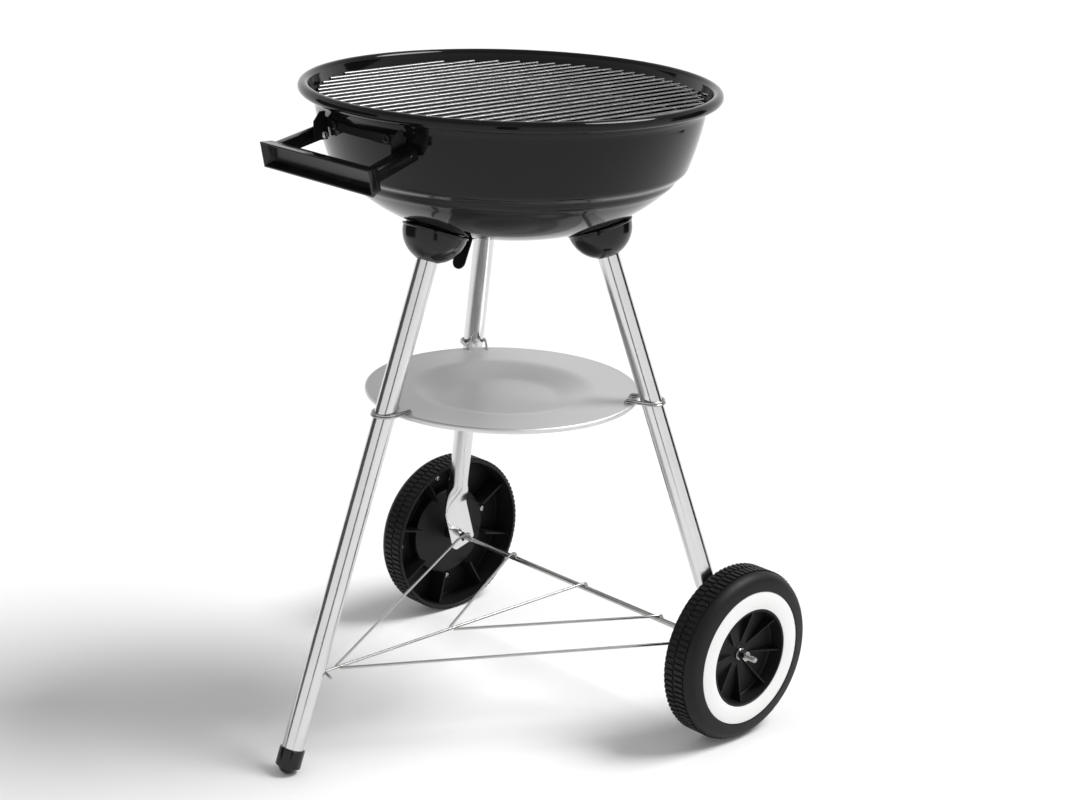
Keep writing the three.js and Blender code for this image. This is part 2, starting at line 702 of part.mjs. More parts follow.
// Parallel wires laid on a wire ring and welded to it. The wires run along y.
function grateGeometry(ringRadius, ringWire, barWire, pitch, segments) {
  const section = [...arc(ringRadius, 0, ringWire, 0, 300, 5), [ringRadius + ringWire, 0]];
  const ring = turned(section, segments);
  const level = ringWire + barWire - 1.2;
  const count = Math.floor(ringRadius / pitch - 0.2);
  const bars = Array.from({ length: 2 * count + 1 }, (_, i) => {
    const x = (i - count) * pitch;
    const half = Math.sqrt((ringRadius + 1) ** 2 - x ** 2);
    return alongY(rodAlongZ(barWire, -half, half, 4)).translate(x, 0, level);
  });
  const under = level - 2 * barWire + 0.8;
  const cross = [-0.42, 0.42].map((share) => {
    const half = ringRadius * Math.sqrt(1 - share ** 2);
    return alongX(rodAlongZ(barWire, -half, half, 4)).translate(0, share * ringRadius, under);
  });
  return joined(ring, ...cross, ...bars);
}

function makeGrates() {
  const cooking = grateGeometry(grateRingRadius, grateRingWire, grateBarWire, grateBarPitch, 40);
  addPart('cooking_grate', cooking, chrome).position.z = rimHeight - grateRingDepth;

  const coal = grateGeometry(coalRingRadius, grateRingWire, grateBarWire, coalBarPitch, 36);
  addPart('charcoal_grate', coal.rotateZ(Math.PI / 2), zinc).position.z = rimHeight - coalRingDepth;

  // Four bent tabs on the wall carry the cooking grate.
  const shelf = rimHeight - grateRingDepth - grateRingWire - GAP;
  const tab = polygon([[0, 0], [-9, 0], [-9, -1.5], [-2, -1.5], [-4.4, -14], [-2.7, -14]]);
  for (let i = 0; i < 4; i += 1) {
    const bracket = extruded(tab, tabWidth).rotateX(Math.PI / 2).translate(tabReach, tabWidth / 2, shelf);
    const placed = addPart(`grate_tab_${i + 1}`, bracket, blackSteel);
    placed.rotation.z = ((2 * i + 1) * Math.PI) / 4;
  }
}

// ---- Vent damper --------------------------------------------------------------------------------

function makeDamper() {
  const pivot = new THREE.Group();
  pivot.position.z = rimHeight - bowlDepth - 0.4;
  grill.add(pivot);

  const disc = rodAlongZ(damperRadius, -sheet, 0, 24);
  const arm = new THREE.BoxGeometry(leverReach - 10, leverWidth, sheet)
    .translate((leverReach + 10) / 2, 0, -sheet / 2);
  const tab = new THREE.Shape();
  tab.moveTo(-leverWidth / 2, 0);
  tab.lineTo(-leverWidth / 2, leverWidth / 2 - leverTab);
  tab.absarc(0, leverWidth / 2 - leverTab, leverWidth / 2, Math.PI, 2 * Math.PI, false);
  tab.lineTo(leverWidth / 2, 0);
  const drop = extruded(tab, 1.5).rotateX(Math.PI / 2).rotateZ(Math.PI / 2).rotateY(-leverLean)
    .translate(leverReach - 1.5, 0, -0.02);
  const holes = quarterTurns.map((turn) =>
    rodAlongZ(ventRadius, -5, 5, 10).translate(ventCircle, 0, 0).rotateZ(turn));
  const middle = rodAlongZ(pivotHole, -5, 5, 10);
  const plate = cut(joined(disc, arm, drop), ...holes, middle);
  addPart('vent_damper', plate, blackSteel, pivot).rotation.z = leverAngle;

  const under = -sheet - 0.4;
  const bolt = turned([
    [0, under - 3], [4, under - 3], [5, under], [2.5, under], [2.5, 9], [0, 9],
  ], 10);
  addPart('damper_bolt', bolt, zinc, pivot);
  const hexagon = circleShape(4.6, 6);
  hexagon.holes.push(circleShape(pivotHole, 10));
  addPart('damper_nut', extruded(hexagon, 4).translate(0, 0, sheet + 0.8), zinc, pivot);
}

// ---- Assembly -----------------------------------------------------------------------------------

makeBowl();
makeSockets();
makeFrontLeg();
makeRearLegs();
makeAxle();
makeWheels();
makeBrace();
makeAshPlate();
makeClips();
makeHandle();
makeHandleStrap();
makeGrates();
makeDamper();

// The finished part stands with the middle of its outline over the origin.
const footReach = legRadiusAt(capBallHeight) + capRadius;
const wheelReach = axleY + wheelRadius;
grill.position.y = (footReach - wheelReach) / 2;

export default grill;
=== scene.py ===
# %% [markdown]
# # Kettle charcoal grill
#
# The CAD model already fixes where every part of the grill sits, how large it is and how it moves. This
# notebook gives each part its real surface: round sheet and tube instead of facets, treads on the
# tyres, threads on the axle, and a finish for every material.

import math

import bpy
from mathutils import Matrix, Vector


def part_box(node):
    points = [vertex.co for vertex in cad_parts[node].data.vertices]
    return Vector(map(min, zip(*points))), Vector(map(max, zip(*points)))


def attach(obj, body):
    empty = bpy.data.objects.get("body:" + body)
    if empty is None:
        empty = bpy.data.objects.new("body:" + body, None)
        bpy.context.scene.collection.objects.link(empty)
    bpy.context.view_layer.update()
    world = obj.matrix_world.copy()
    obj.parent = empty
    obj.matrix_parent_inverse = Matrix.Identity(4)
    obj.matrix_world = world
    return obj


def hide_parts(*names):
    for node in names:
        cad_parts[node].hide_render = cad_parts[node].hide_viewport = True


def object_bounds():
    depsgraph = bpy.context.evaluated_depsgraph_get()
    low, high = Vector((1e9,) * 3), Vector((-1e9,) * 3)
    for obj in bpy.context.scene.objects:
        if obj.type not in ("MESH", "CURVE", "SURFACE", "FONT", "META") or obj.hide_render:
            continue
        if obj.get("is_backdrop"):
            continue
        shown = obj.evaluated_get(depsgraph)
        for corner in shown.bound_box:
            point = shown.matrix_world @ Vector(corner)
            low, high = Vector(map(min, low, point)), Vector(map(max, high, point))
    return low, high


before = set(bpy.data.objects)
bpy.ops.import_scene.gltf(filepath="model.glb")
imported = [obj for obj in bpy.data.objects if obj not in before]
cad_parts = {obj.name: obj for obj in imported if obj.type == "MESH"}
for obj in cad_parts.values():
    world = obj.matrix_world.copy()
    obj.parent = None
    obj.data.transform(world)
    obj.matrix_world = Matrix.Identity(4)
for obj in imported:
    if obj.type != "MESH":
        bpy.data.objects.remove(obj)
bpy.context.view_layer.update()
MM = 0.001
CLEAR = 0.3 * MM

# %% [markdown]
# ## Places taken from the frame
#
# A maker measures before cutting. The bowl, the axle, the wheels and the plate give all the places that
# the other pieces need: the bowl's own axis, the line of a leg, and the height of the axle.

# %% Measure the frame
bowl_low, bowl_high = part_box("bowl")
axle_low, axle_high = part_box("axle")
wheel_low, wheel_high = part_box("wheel_right")
ring_low, ring_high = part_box("white_ring_right")
plate_low, plate_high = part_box("ash_plate")

AXIS_Y = (bowl_low.y + bowl_high.y) / 2
RIM_RADIUS = (bowl_high.x - bowl_low.x) / 2
CURL = 5.8 * MM
SHEET = 1.2 * MM
BOTTOM_Z = bowl_low.z
BOWL_DEPTH = 143 * MM
RIM_Z = BOTTOM_Z + BOWL_DEPTH
AXLE_Y = (axle_low.y + axle_high.y) / 2
AXLE_Z = (axle_low.z + axle_high.z) / 2
AXLE_RADIUS = (axle_high.z - axle_low.z) / 2
AXLE_END = axle_high.x
WHEEL_RADIUS = (wheel_high.z - wheel_low.z) / 2
HUB_INNER = wheel_low.x
WHEEL_INNER = HUB_INNER + 0.9 * MM
WHEEL_WIDTH = 38.5 * MM
RING_OUTER = (ring_high.z - ring_low.z) / 2
TUBE = 11 * MM
LEG_SLOPE = 0.35
LEG_TILT = math.atan(LEG_SLOPE)
DOME_RADIUS = 186 * MM
DOME_FLAT = 35.5 * MM
SEAT_RADIUS = DOME_FLAT + DOME_RADIUS * math.sin(LEG_TILT)
SEAT_Z = BOTTOM_Z + DOME_RADIUS * (1 - math.cos(LEG_TILT))
REAR_ANGLE = math.radians(31)
LEG_ANGLES = {"front": -math.pi / 2, "left": math.pi - REAR_ANGLE, "right": REAR_ANGLE}
SIDES = {"left": -1, "right": 1}


def rotation(angle, axis):
    return Matrix.Rotation(angle, 4, axis)


def shift(x=0, y=0, z=0):
    """A move by lengths in mm."""
    return Matrix.Translation((x * MM, y * MM, z * MM))


def leg_matrix(azimuth):
    """A frame on the bowl's bottom whose z axis runs up along a leg and whose x axis points outwards."""
    turn = Matrix.Translation((0, AXIS_Y, 0)) @ rotation(azimuth, "Z")
    return turn @ Matrix.Translation((SEAT_RADIUS, 0, SEAT_Z)) @ rotation(-LEG_TILT, "Y")


def leg_radius_at(z):
    return SEAT_RADIUS + (SEAT_Z - z) * LEG_SLOPE


def along_leg(z):
    return (z - SEAT_Z) / math.cos(LEG_TILT)


print("rim", round(RIM_RADIUS, 4), round(RIM_Z, 4), "axle", round(AXLE_Y, 4), round(AXLE_Z, 4))

# %% [markdown]
# ## Camera
#
# The camera is a long lens a little above the rim and to the right of the handle. Its place is given as
# an azimuth round the bowl, a distance and a height, so that it reads as a person standing there.

# %% Camera
VIEW_AZIMUTH = math.radians(46.81)
VIEW_DISTANCE = 2.26727
VIEW_HEIGHT = 1.06735
VIEW_YAW = math.radians(0.83)
VIEW_PITCH = math.radians(-17.78)
VIEW_ROLL = math.radians(1.9)
FOCAL_SHARE = 2278.59 / 1067      # focal length over the width of the frame

bpy.ops.object.camera_add(location=(
    math.sin(VIEW_AZIMUTH) * VIEW_DISTANCE,
    AXIS_Y - math.cos(VIEW_AZIMUTH) * VIEW_DISTANCE,
    VIEW_HEIGHT,
))
camera = bpy.context.object
camera.name = "camera"
heading = Vector((-math.sin(VIEW_AZIMUTH), math.cos(VIEW_AZIMUTH), 0))
heading.rotate(Matrix.Rotation(-VIEW_YAW, 3, "Z"))
right = heading.cross(Vector((0, 0, 1)))
look = heading * math.cos(VIEW_PITCH) + Vector((0, 0, math.sin(VIEW_PITCH)))
above = right.cross(look)
right_rolled = right * math.cos(VIEW_ROLL) + above * math.sin(VIEW_ROLL)
above_rolled = right_rolled.cross(look)
camera.rotation_mode = "QUATERNION"
camera.rotation_quaternion = Matrix((right_rolled, above_rolled, -look)).transposed().to_quaternion()
camera.data.sensor_width = 36
camera.data.lens = 36 * FOCAL_SHARE
camera.data.clip_end = 100
bpy.context.scene.camera = camera
print("lens", round(camera.data.lens, 1), "mm")

# %% [markdown]
# ## Floor and light
#
# Glossy black and chrome show only what they mirror, so the room is lit like a studio: a white floor, a
# white horizon that darkens towards the ceiling, and one very large soft lamp high behind the bowl, which
# draws the light line along each rounded edge. Upright dark cards round the grill, which no camera sees and
# which throw no shadow, stand where the chrome tubes mirror them and give the tubes their dark lines.


# %% Studio
world = bpy.data.worlds.new("studio_air")
bpy.context.scene.world = world
bpy.context.scene.view_settings.view_transform = "Standard"
world.use_nodes = True
air = world.node_tree
direction = air.nodes.new("ShaderNodeTexCoord")
split = air.nodes.new("ShaderNodeSeparateXYZ")
fall = air.nodes.new("ShaderNodeMapRange")
fall.interpolation_type = "SMOOTHSTEP"
for key, value in {"From Min": 0.1, "From Max": 0.75, "To Min": 1.0, "To Max": 0.35}.items():
    fall.inputs[key].default_value = value
air.links.new(direction.outputs["Generated"], split.inputs["Vector"])
air.links.new(split.outputs["Z"], fall.inputs["Value"])
air.links.new(fall.outputs["Result"], air.nodes["Background"].inputs["Strength"])
air.nodes["Background"].inputs["Color"].default_value = (1, 1, 1, 1)

bpy.ops.mesh.primitive_plane_add(size=40, location=(0, 0, 0))
floor = bpy.context.object
floor.name = "floor"
floor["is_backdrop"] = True

SUN_FROM = Vector((0.35, 0.46, 0.81))
bpy.ops.object.light_add(type="SUN", location=SUN_FROM * 3)
big_lamp = bpy.context.object
big_lamp.name = "big_soft_lamp"
big_lamp.data.energy = 2.9
big_lamp.data.angle = math.radians(28)
big_lamp.rotation_euler = (-SUN_FROM).to_track_quat("-Z", "Y").to_euler()

# Each card stands upright: its bearing from the camera's side, its distance, half its width, its top
# and how light it is.
CARD_BOTTOM = 0.02
CARDS = {
    "card_front": (0, 1.35, 0.13, 1.1, 0.03),
    "card_left": (-95, 1.6, 0.75, 1.1, 0.06),
    "card_right": (106, 1.8, 0.5, 1.3, 0.02),
}


def upright_card(name, bearing, distance, half_width, top):
    bpy.ops.mesh.primitive_plane_add(size=2, location=(0, 0, 0))
    board = bpy.context.object
    board.name = name
    turn = rotation(VIEW_AZIMUTH - math.pi / 2 + math.radians(bearing), "Z")
    for vertex in board.data.vertices:
        vertex.co = (distance, vertex.co.y * half_width, CARD_BOTTOM if vertex.co.x < 0 else top)
    board.data.transform(turn)
    board.visible_camera = board.visible_diffuse = board.visible_shadow = False
    board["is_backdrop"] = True
    return board


cards = {name: upright_card(name, *shape) for name, (*shape, _) in CARDS.items()}
print("cards", list(cards))

# %% [markdown]
# ## Writing materials as expressions
#
# A procedural finish is mostly arithmetic on noise. `Socket` wraps a node's output and turns `+`, `-`
# and `*` into Math nodes, and `Finish` holds one material and adds any other node by its type.


# %% Shader helpers
class Socket:
    def __init__(self, finish, output):
        self.finish = finish
        self.output = output

    def math(self, operation, other, swap=False):
        pair = [other, self] if swap else [self, other]
        return self.finish.node("ShaderNodeMath", {"operation": operation}, dict(enumerate(pair)))

    def __add__(self, other):
        return self.math("ADD", other)

    def __radd__(self, other):
        return self.math("ADD", other, swap=True)

    def __sub__(self, other):
        return self.math("SUBTRACT", other)

    def __rsub__(self, other):
        return self.math("SUBTRACT", other, swap=True)

    def __mul__(self, other):
        return self.math("MULTIPLY", other)

    def __rmul__(self, other):
        return self.math("MULTIPLY", other, swap=True)


class Finish:
    def __init__(self, name, metallic=0.0, coat=0.0, coat_roughness=0.03, specular=0.5):
        self.material = bpy.data.materials.new(name)
        self.material.use_nodes = True
        self.tree = self.material.node_tree
        self.shader = self.tree.nodes["Principled BSDF"]
        self.shader.inputs["Metallic"].default_value = metallic
        self.shader.inputs["Coat Weight"].default_value = coat
        self.shader.inputs["Coat Roughness"].default_value = coat_roughness
        self.shader.inputs["Specular IOR Level"].default_value = specular
        self.place = self.node("ShaderNodeTexCoord", {}, {}, "Object")

    def node(self, kind, settings, inputs, output=0):
        made = self.tree.nodes.new(kind)
        for key, value in settings.items():
            if key == "ramp":
                self.set_ramp(made.color_ramp, value)
            else:
                setattr(made, key, value)
        for key, value in inputs.items():
            if isinstance(value, Socket):
                self.tree.links.new(value.output, made.inputs[key])
            else:
                made.inputs[key].default_value = value
        return Socket(self, made.outputs[output])

    @staticmethod
    def set_ramp(ramp, stops):
        while len(ramp.elements) < len(stops):
            ramp.elements.new(0.5)
        for element, (at, value) in zip(ramp.elements, stops):
            element.position = at
            element.color = (value, value, value, 1)

    def noise(self, scale, detail=3.0, stretch=(1, 1, 1)):
        """Noise from 0 to 1 at about `scale` grains per metre, drawn out along the stretched axes."""
        spread = self.node("ShaderNodeMapping", {}, {"Vector": self.place, "Scale": stretch})
        inputs = {"Vector": spread, "Scale": scale, "Detail": detail}
        return self.node("ShaderNodeTexNoise", {}, inputs, "Fac")

    def ramp(self, value, *stops):
        return self.node("ShaderNodeValToRGB", {"ramp": stops}, {"Fac": value}, "Color")

    def mix(self, share, first, second):
        """A colour between two colours, by a share from 0 to 1."""
        made = self.node("ShaderNodeMix", {"data_type": "RGBA"}, {"Factor": share}, "Result")
        node = made.output.node
        for key, colour in ((6, first), (7, second)):
            node.inputs[key].default_value = (*colour, 1)
        return Socket(self, node.outputs[2])

    def color(self, value):
        if isinstance(value, Socket):
            self.tree.links.new(value.output, self.shader.inputs["Base Color"])
        else:
            self.shader.inputs["Base Color"].default_value = (*value, 1)

    def roughness(self, value):
        self.tree.links.new(value.output, self.shader.inputs["Roughness"])

    def bump(self, height, distance, strength=1.0):
        """Raises the surface by up to `distance` metres where `height` is 1."""
        inputs = {"Height": height, "Distance": distance, "Strength": strength}
        normal = self.node("ShaderNodeBump", {}, inputs, "Normal")
        self.tree.links.new(normal.output, self.shader.inputs["Normal"])


# %% [markdown]
# ## The finishes
#
# **Enamel** is glass fired on steel: nearly black, very smooth, with a faint ripple like orange peel and
# a few fine pits. **Moulded plastic** has a finer, duller skin. **Chrome tube** is drawn, so its faint
# lines run along the tube. **Zinc** on wire and screws is a little cloudy. The **ash plate** is sheet
# with silver paint, whose flakes give a fine sparkle that is different from polish.


# %% Black enamel
def make_enamel():
    finish = Finish("black_enamel", specular=0.24)
    cloud = finish.noise(14, 2)
    ripple = finish.noise(420, 2)
    pits = finish.ramp(finish.noise(1500, 1), (0.26, 0), (0.3, 1))
    finish.color(finish.mix(cloud, (0.003, 0.003, 0.0032), (0.006, 0.006, 0.0063)))
    finish.roughness(0.05 + cloud * 0.05)
    finish.bump(ripple * 0.7 + pits * 0.3, 0.02 * MM, 0.35)
    return finish.material


# %% Black plastics
def make_black_plastic():
    finish = Finish("black_plastic", specular=0.36)
    cloud = finish.noise(30, 3)
    grain = finish.noise(2600, 2)
    flow = finish.noise(90, 2, (1, 1, 0.15))
    finish.color(finish.mix(cloud, (0.003, 0.003, 0.0032), (0.006, 0.006, 0.0063)))
    finish.roughness(0.1 + flow * 0.08)
    finish.bump(grain * 0.6 + flow * 0.4, 0.03 * MM, 0.3)
    return finish.material


def make_wheel_plastic():
    finish = Finish("wheel_plastic", specular=0.22)
    cloud = finish.noise(22, 3)
    grain = finish.noise(1800, 3)
    scuff = finish.ramp(finish.noise(260, 4, (0.3, 1, 1)), (0.52, 0), (0.75, 1))
    finish.color(finish.mix(cloud, (0.005, 0.005, 0.0053), (0.009, 0.009, 0.0095)))
    finish.roughness(0.42 + grain * 0.12 + scuff * 0.1)
    finish.bump(grain * 0.8 + scuff * 0.2, 0.06 * MM, 0.4)
    return finish.material


def make_white_plastic():
    finish = Finish("white_plastic", specular=0.4)
    cloud = finish.noise(16, 3)
    grain = finish.noise(1400, 2)
    finish.color(finish.mix(cloud, (0.74, 0.74, 0.735), (0.79, 0.79, 0.785)))
    finish.roughness(0.38 + grain * 0.1)
    finish.bump(grain, 0.03 * MM, 0.3)
    return finish.material


# %% Bright metals
def metal(name, dark, bright, smooth, rough, line_scale, stretch, cloud_scale=35, relief=0.01):
    """Bright metal whose shade and roughness vary in clouds and in fine lines along one direction."""
    finish = Finish(name, metallic=1.0)
    cloud = finish.noise(cloud_scale, 3)
    lines = finish.noise(line_scale, 3, stretch)
    finish.color(finish.mix(cloud * 0.6 + lines * 0.4, dark, bright))
    finish.roughness(smooth + lines * (rough - smooth))
    finish.bump(lines, relief * MM, 0.35)
    return finish.material


# %% Silver paint
def make_silver_paint():
    finish = Finish("satin_plate", metallic=0.72, coat=0.1, coat_roughness=0.25)
    cloud = finish.noise(9, 3)
    flake = finish.noise(2400, 2)
    fleck = finish.ramp(finish.noise(1500, 1), (0.62, 0), (0.72, 1))
    finish.color(finish.mix(flake * 0.65 + cloud * 0.35, (0.58, 0.58, 0.58), (0.78, 0.78, 0.78)))
    finish.roughness(0.4 + flake * 0.14 - fleck * 0.1)
    finish.bump(flake, 0.04 * MM, 0.4)
    return finish.material


def make_black_paint():
    finish = Finish("black_steel", specular=0.25)
    cloud = finish.noise(40, 3)
    grain = finish.noise(1200, 3)
    finish.color(finish.mix(cloud, (0.003, 0.003, 0.003), (0.007, 0.007, 0.007)))
    finish.roughness(0.3 + grain * 0.15)
    finish.bump(grain, 0.05 * MM, 0.35)
    return finish.material


def make_floor_paint():
    finish = Finish("studio_floor", specular=0.2)
    cloud = finish.noise(0.4, 2)
    finish.color(finish.mix(cloud, (0.86, 0.86, 0.86), (0.89, 0.89, 0.89)))
    finish.roughness(0.75 + cloud * 0.1)
    return finish.material


def make_card(name, shade):
    finish = Finish(name, specular=0.0)
    finish.color((shade, shade, shade))
    finish.roughness(0.9 + finish.noise(1) * 0.05)
    return finish.material


FINISHES = {
    "black_enamel": make_enamel(),
    "black_plastic": make_black_plastic(),
    "wheel_plastic": make_wheel_plastic(),
    "white_plastic": make_white_plastic(),
    "leg_chrome": metal("leg_chrome", (0.6, 0.6, 0.6), (0.76, 0.76, 0.76), 0.1, 0.24, 900, (1, 1, 0.02)),
    "zinc_steel": metal("zinc_steel", (0.36, 0.36, 0.355), (0.56, 0.56, 0.55), 0.16, 0.32, 600, (1, 1, 1)),
    "satin_plate": make_silver_paint(),
    "black_steel": make_black_paint(),
    # The cooking grate's chrome is coloured far darker than the legs' chrome: this darker colour is painted
    # shade and dark reflection of the wires inside the bowl.
    "grate_chrome": metal("grate_chrome", (0.2, 0.2, 0.2), (0.34, 0.34, 0.34), 0.12, 0.24, 500, (1, 0.1, 1)),
    "grate_zinc": metal("grate_zinc", (0.22, 0.22, 0.21), (0.4, 0.4, 0.39), 0.32, 0.5, 500, (0.1, 1, 1)),
}
floor.data.materials.append(make_floor_paint())
for name, board in cards.items():
    board.data.materials.append(make_card(f"{name}_paint", CARDS[name][-1]))
print("finishes", sorted(FINISHES))

# %% [markdown]
# ## Modelling helpers
#
# Most of a grill is turned or pressed on a spinning tool, so most pieces are one outline, drawn as a
# chain of edges and spun round an axis. The outline grows from a single vertex by extruding it, as by
# hand. Wires are round bars bent along a path, and each bend has a radius.


# %% Selection and clean-up
def deselect():
    for other in bpy.context.selected_objects:
        other.select_set(False)


def activate(piece):
    deselect()
    piece.select_set(True)
    bpy.context.view_layer.objects.active = piece


def edit(piece, mode="VERT"):
    activate(piece)
    bpy.ops.object.mode_set(mode="EDIT")
    bpy.ops.mesh.select_mode(type=mode)
    bpy.ops.mesh.select_all(action="DESELECT")
    bpy.ops.object.mode_set(mode="OBJECT")


def edit_all(piece, mode="VERT"):
    edit(piece, mode)
    bpy.ops.object.mode_set(mode="EDIT")
    bpy.ops.mesh.select_all(action="SELECT")


def select(piece, elements, test):
    """Selects the vertices, edges or faces that pass the test, and goes into edit mode."""
    chosen = 0
    for element in getattr(piece.data, elements):
        element.select = test(element)
        chosen += element.select
    bpy.ops.object.mode_set(mode="EDIT")
    return chosen


def leave():
    bpy.ops.object.mode_set(mode="OBJECT")


def tidy_mesh(piece, distance=0.01 * MM):
    """Merges doubles and turns all faces outwards."""
    edit_all(piece)
    bpy.ops.mesh.remove_doubles(threshold=distance)
    bpy.ops.mesh.normals_make_consistent(inside=False)
    leave()


def place(piece, matrix):
    """Moves a piece's mesh, and keeps its object at the origin."""
    piece.data.transform(matrix)
    if matrix.determinant() < 0:
        piece.data.flip_normals()
    piece.data.update()
    return piece


def apply_modifier(piece, kind, **settings):
    activate(piece)
    modifier = piece.modifiers.new(kind.lower(), kind)
    for key, value in settings.items():
        setattr(modifier, key, value)
    bpy.ops.object.modifier_apply(modifier=modifier.name)
    return piece


def smooth(piece, degrees=32):
    activate(piece)
    bpy.ops.object.shade_smooth_by_angle(angle=math.radians(degrees))
    return piece


def remove(*pieces):
    for piece in pieces:
        bpy.data.objects.remove(piece)


def copy_of(piece, name, matrix=Matrix.Identity(4)):
    twin = piece.copy()
    twin.data = piece.data.copy()
    twin.name = name
    bpy.context.scene.collection.objects.link(twin)
    return place(twin, matrix)


def join(first, *others):
    deselect()
    for piece in (first, *others):
        piece.select_set(True)
    bpy.context.view_layer.objects.active = first
    bpy.ops.object.join()
    return first


def combine(piece, tool, operation):
    """Works another solid into a piece and uses it up: UNION, DIFFERENCE or INTERSECT."""
    apply_modifier(piece, "BOOLEAN", operation=operation, solver="EXACT", object=tool)
    remove(tool)
    return piece


def cut(piece, *tools):
    """Takes the tools' solids out of a piece."""
    return combine(piece, join(*tools) if len(tools) > 1 else tools[0], "DIFFERENCE")


# %% Outlines and turning
def arc(across, up, radius, start, end, steps):
    """Points on an arc as (across, up) pairs. Angles in degrees, counter-clockwise from across."""
    angles = [math.radians(start + (end - start) * i / steps) for i in range(steps + 1)]
    return [(across + radius * math.cos(a), up + radius * math.sin(a)) for a in angles]


def bend(start, corner, end, steps=8):
    """A smooth bend from start to end that leaves and arrives along the lines to the corner."""
    points = []
    for i in range(steps + 1):
        t = i / steps
        points.append(tuple(
            (1 - t) ** 2 * a + 2 * t * (1 - t) * c + t * t * b for a, c, b in zip(start, corner, end)
        ))
    return points


def offset(line, distance):
    """The same line moved to its right-hand side."""
    moved = []
    for i, (r, z) in enumerate(line):
        r0, z0 = line[max(i - 1, 0)]
        r1, z1 = line[min(i + 1, len(line) - 1)]
        length = math.hypot(r1 - r0, z1 - z0)
        moved.append((r + distance * (z1 - z0) / length, z - distance * (r1 - r0) / length))
    return moved


def turned(name, points, segments, matrix=Matrix.Identity(4), unit=MM):
    """A closed outline of (radius, z) points spun about the z axis."""
    bpy.ops.mesh.primitive_plane_add(size=unit, location=(0, 0, 0))
    piece = bpy.context.object
    piece.name = name
    bpy.ops.object.mode_set(mode="EDIT")
    bpy.ops.mesh.select_mode(type="VERT")
    bpy.ops.mesh.select_all(action="SELECT")
    bpy.ops.mesh.merge(type="CENTER")
    start = points[0]
    bpy.ops.transform.translate(value=(start[0] * unit, 0, start[1] * unit))
    for (r0, z0), (r1, z1) in zip(points, points[1:]):
        step = ((r1 - r0) * unit, 0, (z1 - z0) * unit)
        bpy.ops.mesh.extrude_region_move(TRANSFORM_OT_translate={"value": step})
    bpy.ops.mesh.select_all(action="SELECT")
    bpy.ops.mesh.spin(steps=segments, angle=2 * math.pi, center=(0, 0, 0), axis=(0, 0, 1))
    leave()
    tidy_mesh(piece, 0.005 * unit)
    return place(piece, matrix)


def cylinder(name, radius, low, high, sides, matrix=Matrix.Identity(4)):
    """A plain solid along z, used as a cutting tool or as the start of a piece. Sizes in mm."""
    bpy.ops.mesh.primitive_cylinder_add(
        vertices=sides, radius=radius * MM, depth=(high - low) * MM, location=(0, 0, (low + high) / 2 * MM))
    piece = bpy.context.object
    piece.name = name
    bpy.ops.object.transform_apply(location=True)
    return place(piece, matrix)


def block(name, size, centre, matrix=Matrix.Identity(4)):
    bpy.ops.mesh.primitive_cube_add(size=1)
    piece = bpy.context.object
    piece.name = name
    scale = Matrix.Diagonal((*[s * MM for s in size], 1))
    return place(piece, matrix @ shift(*centre) @ scale)


def strip(name, points, push):
    """A flat outline, pushed along a vector into a solid. Points and vector in metres."""
    bpy.ops.mesh.primitive_circle_add(vertices=len(points), radius=MM)
    piece = bpy.context.object
    piece.name = name
    for vertex, point in zip(piece.data.vertices, points):
        vertex.co = point
    edit_all(piece)
    bpy.ops.mesh.edge_face_add()
    bpy.ops.mesh.extrude_region_move(TRANSFORM_OT_translate={"value": push})
    leave()
    tidy_mesh(piece)
    return piece


def rounded(points, radius, steps=6):
    """The same path with each inner corner bent to a radius."""
    path = [Vector(points[0])]
    for before, corner, after in zip(points, points[1:], points[2:]):
        before, corner, after = Vector(before), Vector(corner), Vector(after)
        reach_in = min(radius, (before - corner).length / 2)
        reach_out = min(radius, (after - corner).length / 2)
        start = corner + (before - corner).normalized() * reach_in
        end = corner + (after - corner).normalized() * reach_out
        path += [Vector(p) for p in bend(start, corner, end, steps)]
    return path + [Vector(points[-1])]


def wire(name, points, radius, sides=10, cyclic=False):
    """A round wire along a path, as a mesh. Points in the row frame, in metres."""
    bpy.ops.curve.primitive_bezier_curve_add(location=(0, 0, 0))
    piece = bpy.context.object
    piece.name = name
    curve = piece.data
    curve.splines.clear()
    spline = curve.splines.new("POLY")
    spline.points.add(len(points) - 1)
    for knot, point in zip(spline.points, points):
        knot.co = (*point, 1)
    spline.use_cyclic_u = cyclic
    curve.bevel_depth = radius
    curve.bevel_resolution = (sides - 4) // 2
    curve.use_fill_caps = not cyclic
    activate(piece)
    bpy.ops.object.convert(target="MESH")
    piece = bpy.context.object
    tidy_mesh(piece, 0.002 * MM)
    return piece


def finished(piece, slot, node, body="root", angle=32):
    """Gives a finished piece its material and its body, and hides the CAD node that it stands for."""
    smooth(piece, angle)
    piece.data.materials.clear()
    piece.data.materials.append(FINISHES[slot])
    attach(piece, body)
    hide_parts(node)
    print(piece.name, len(piece.data.polygons), "faces")
    return piece


# %% [markdown]
# ## Bowl
#
# The bowl is pressed from one disc of sheet. Its rim is rolled outwards into a bead, its wall bulges a
# little, and near the bottom of the wall a shoulder and a small step stiffen it and carry the charcoal
# grate. Below them the bottom is a shallow dome. The outer line of the sheet is drawn once, its inner
# line is the same line moved by the sheet's thickness, and spinning both gives a real shell with an
# inside. The vents in the bottom are cut with cylinders.


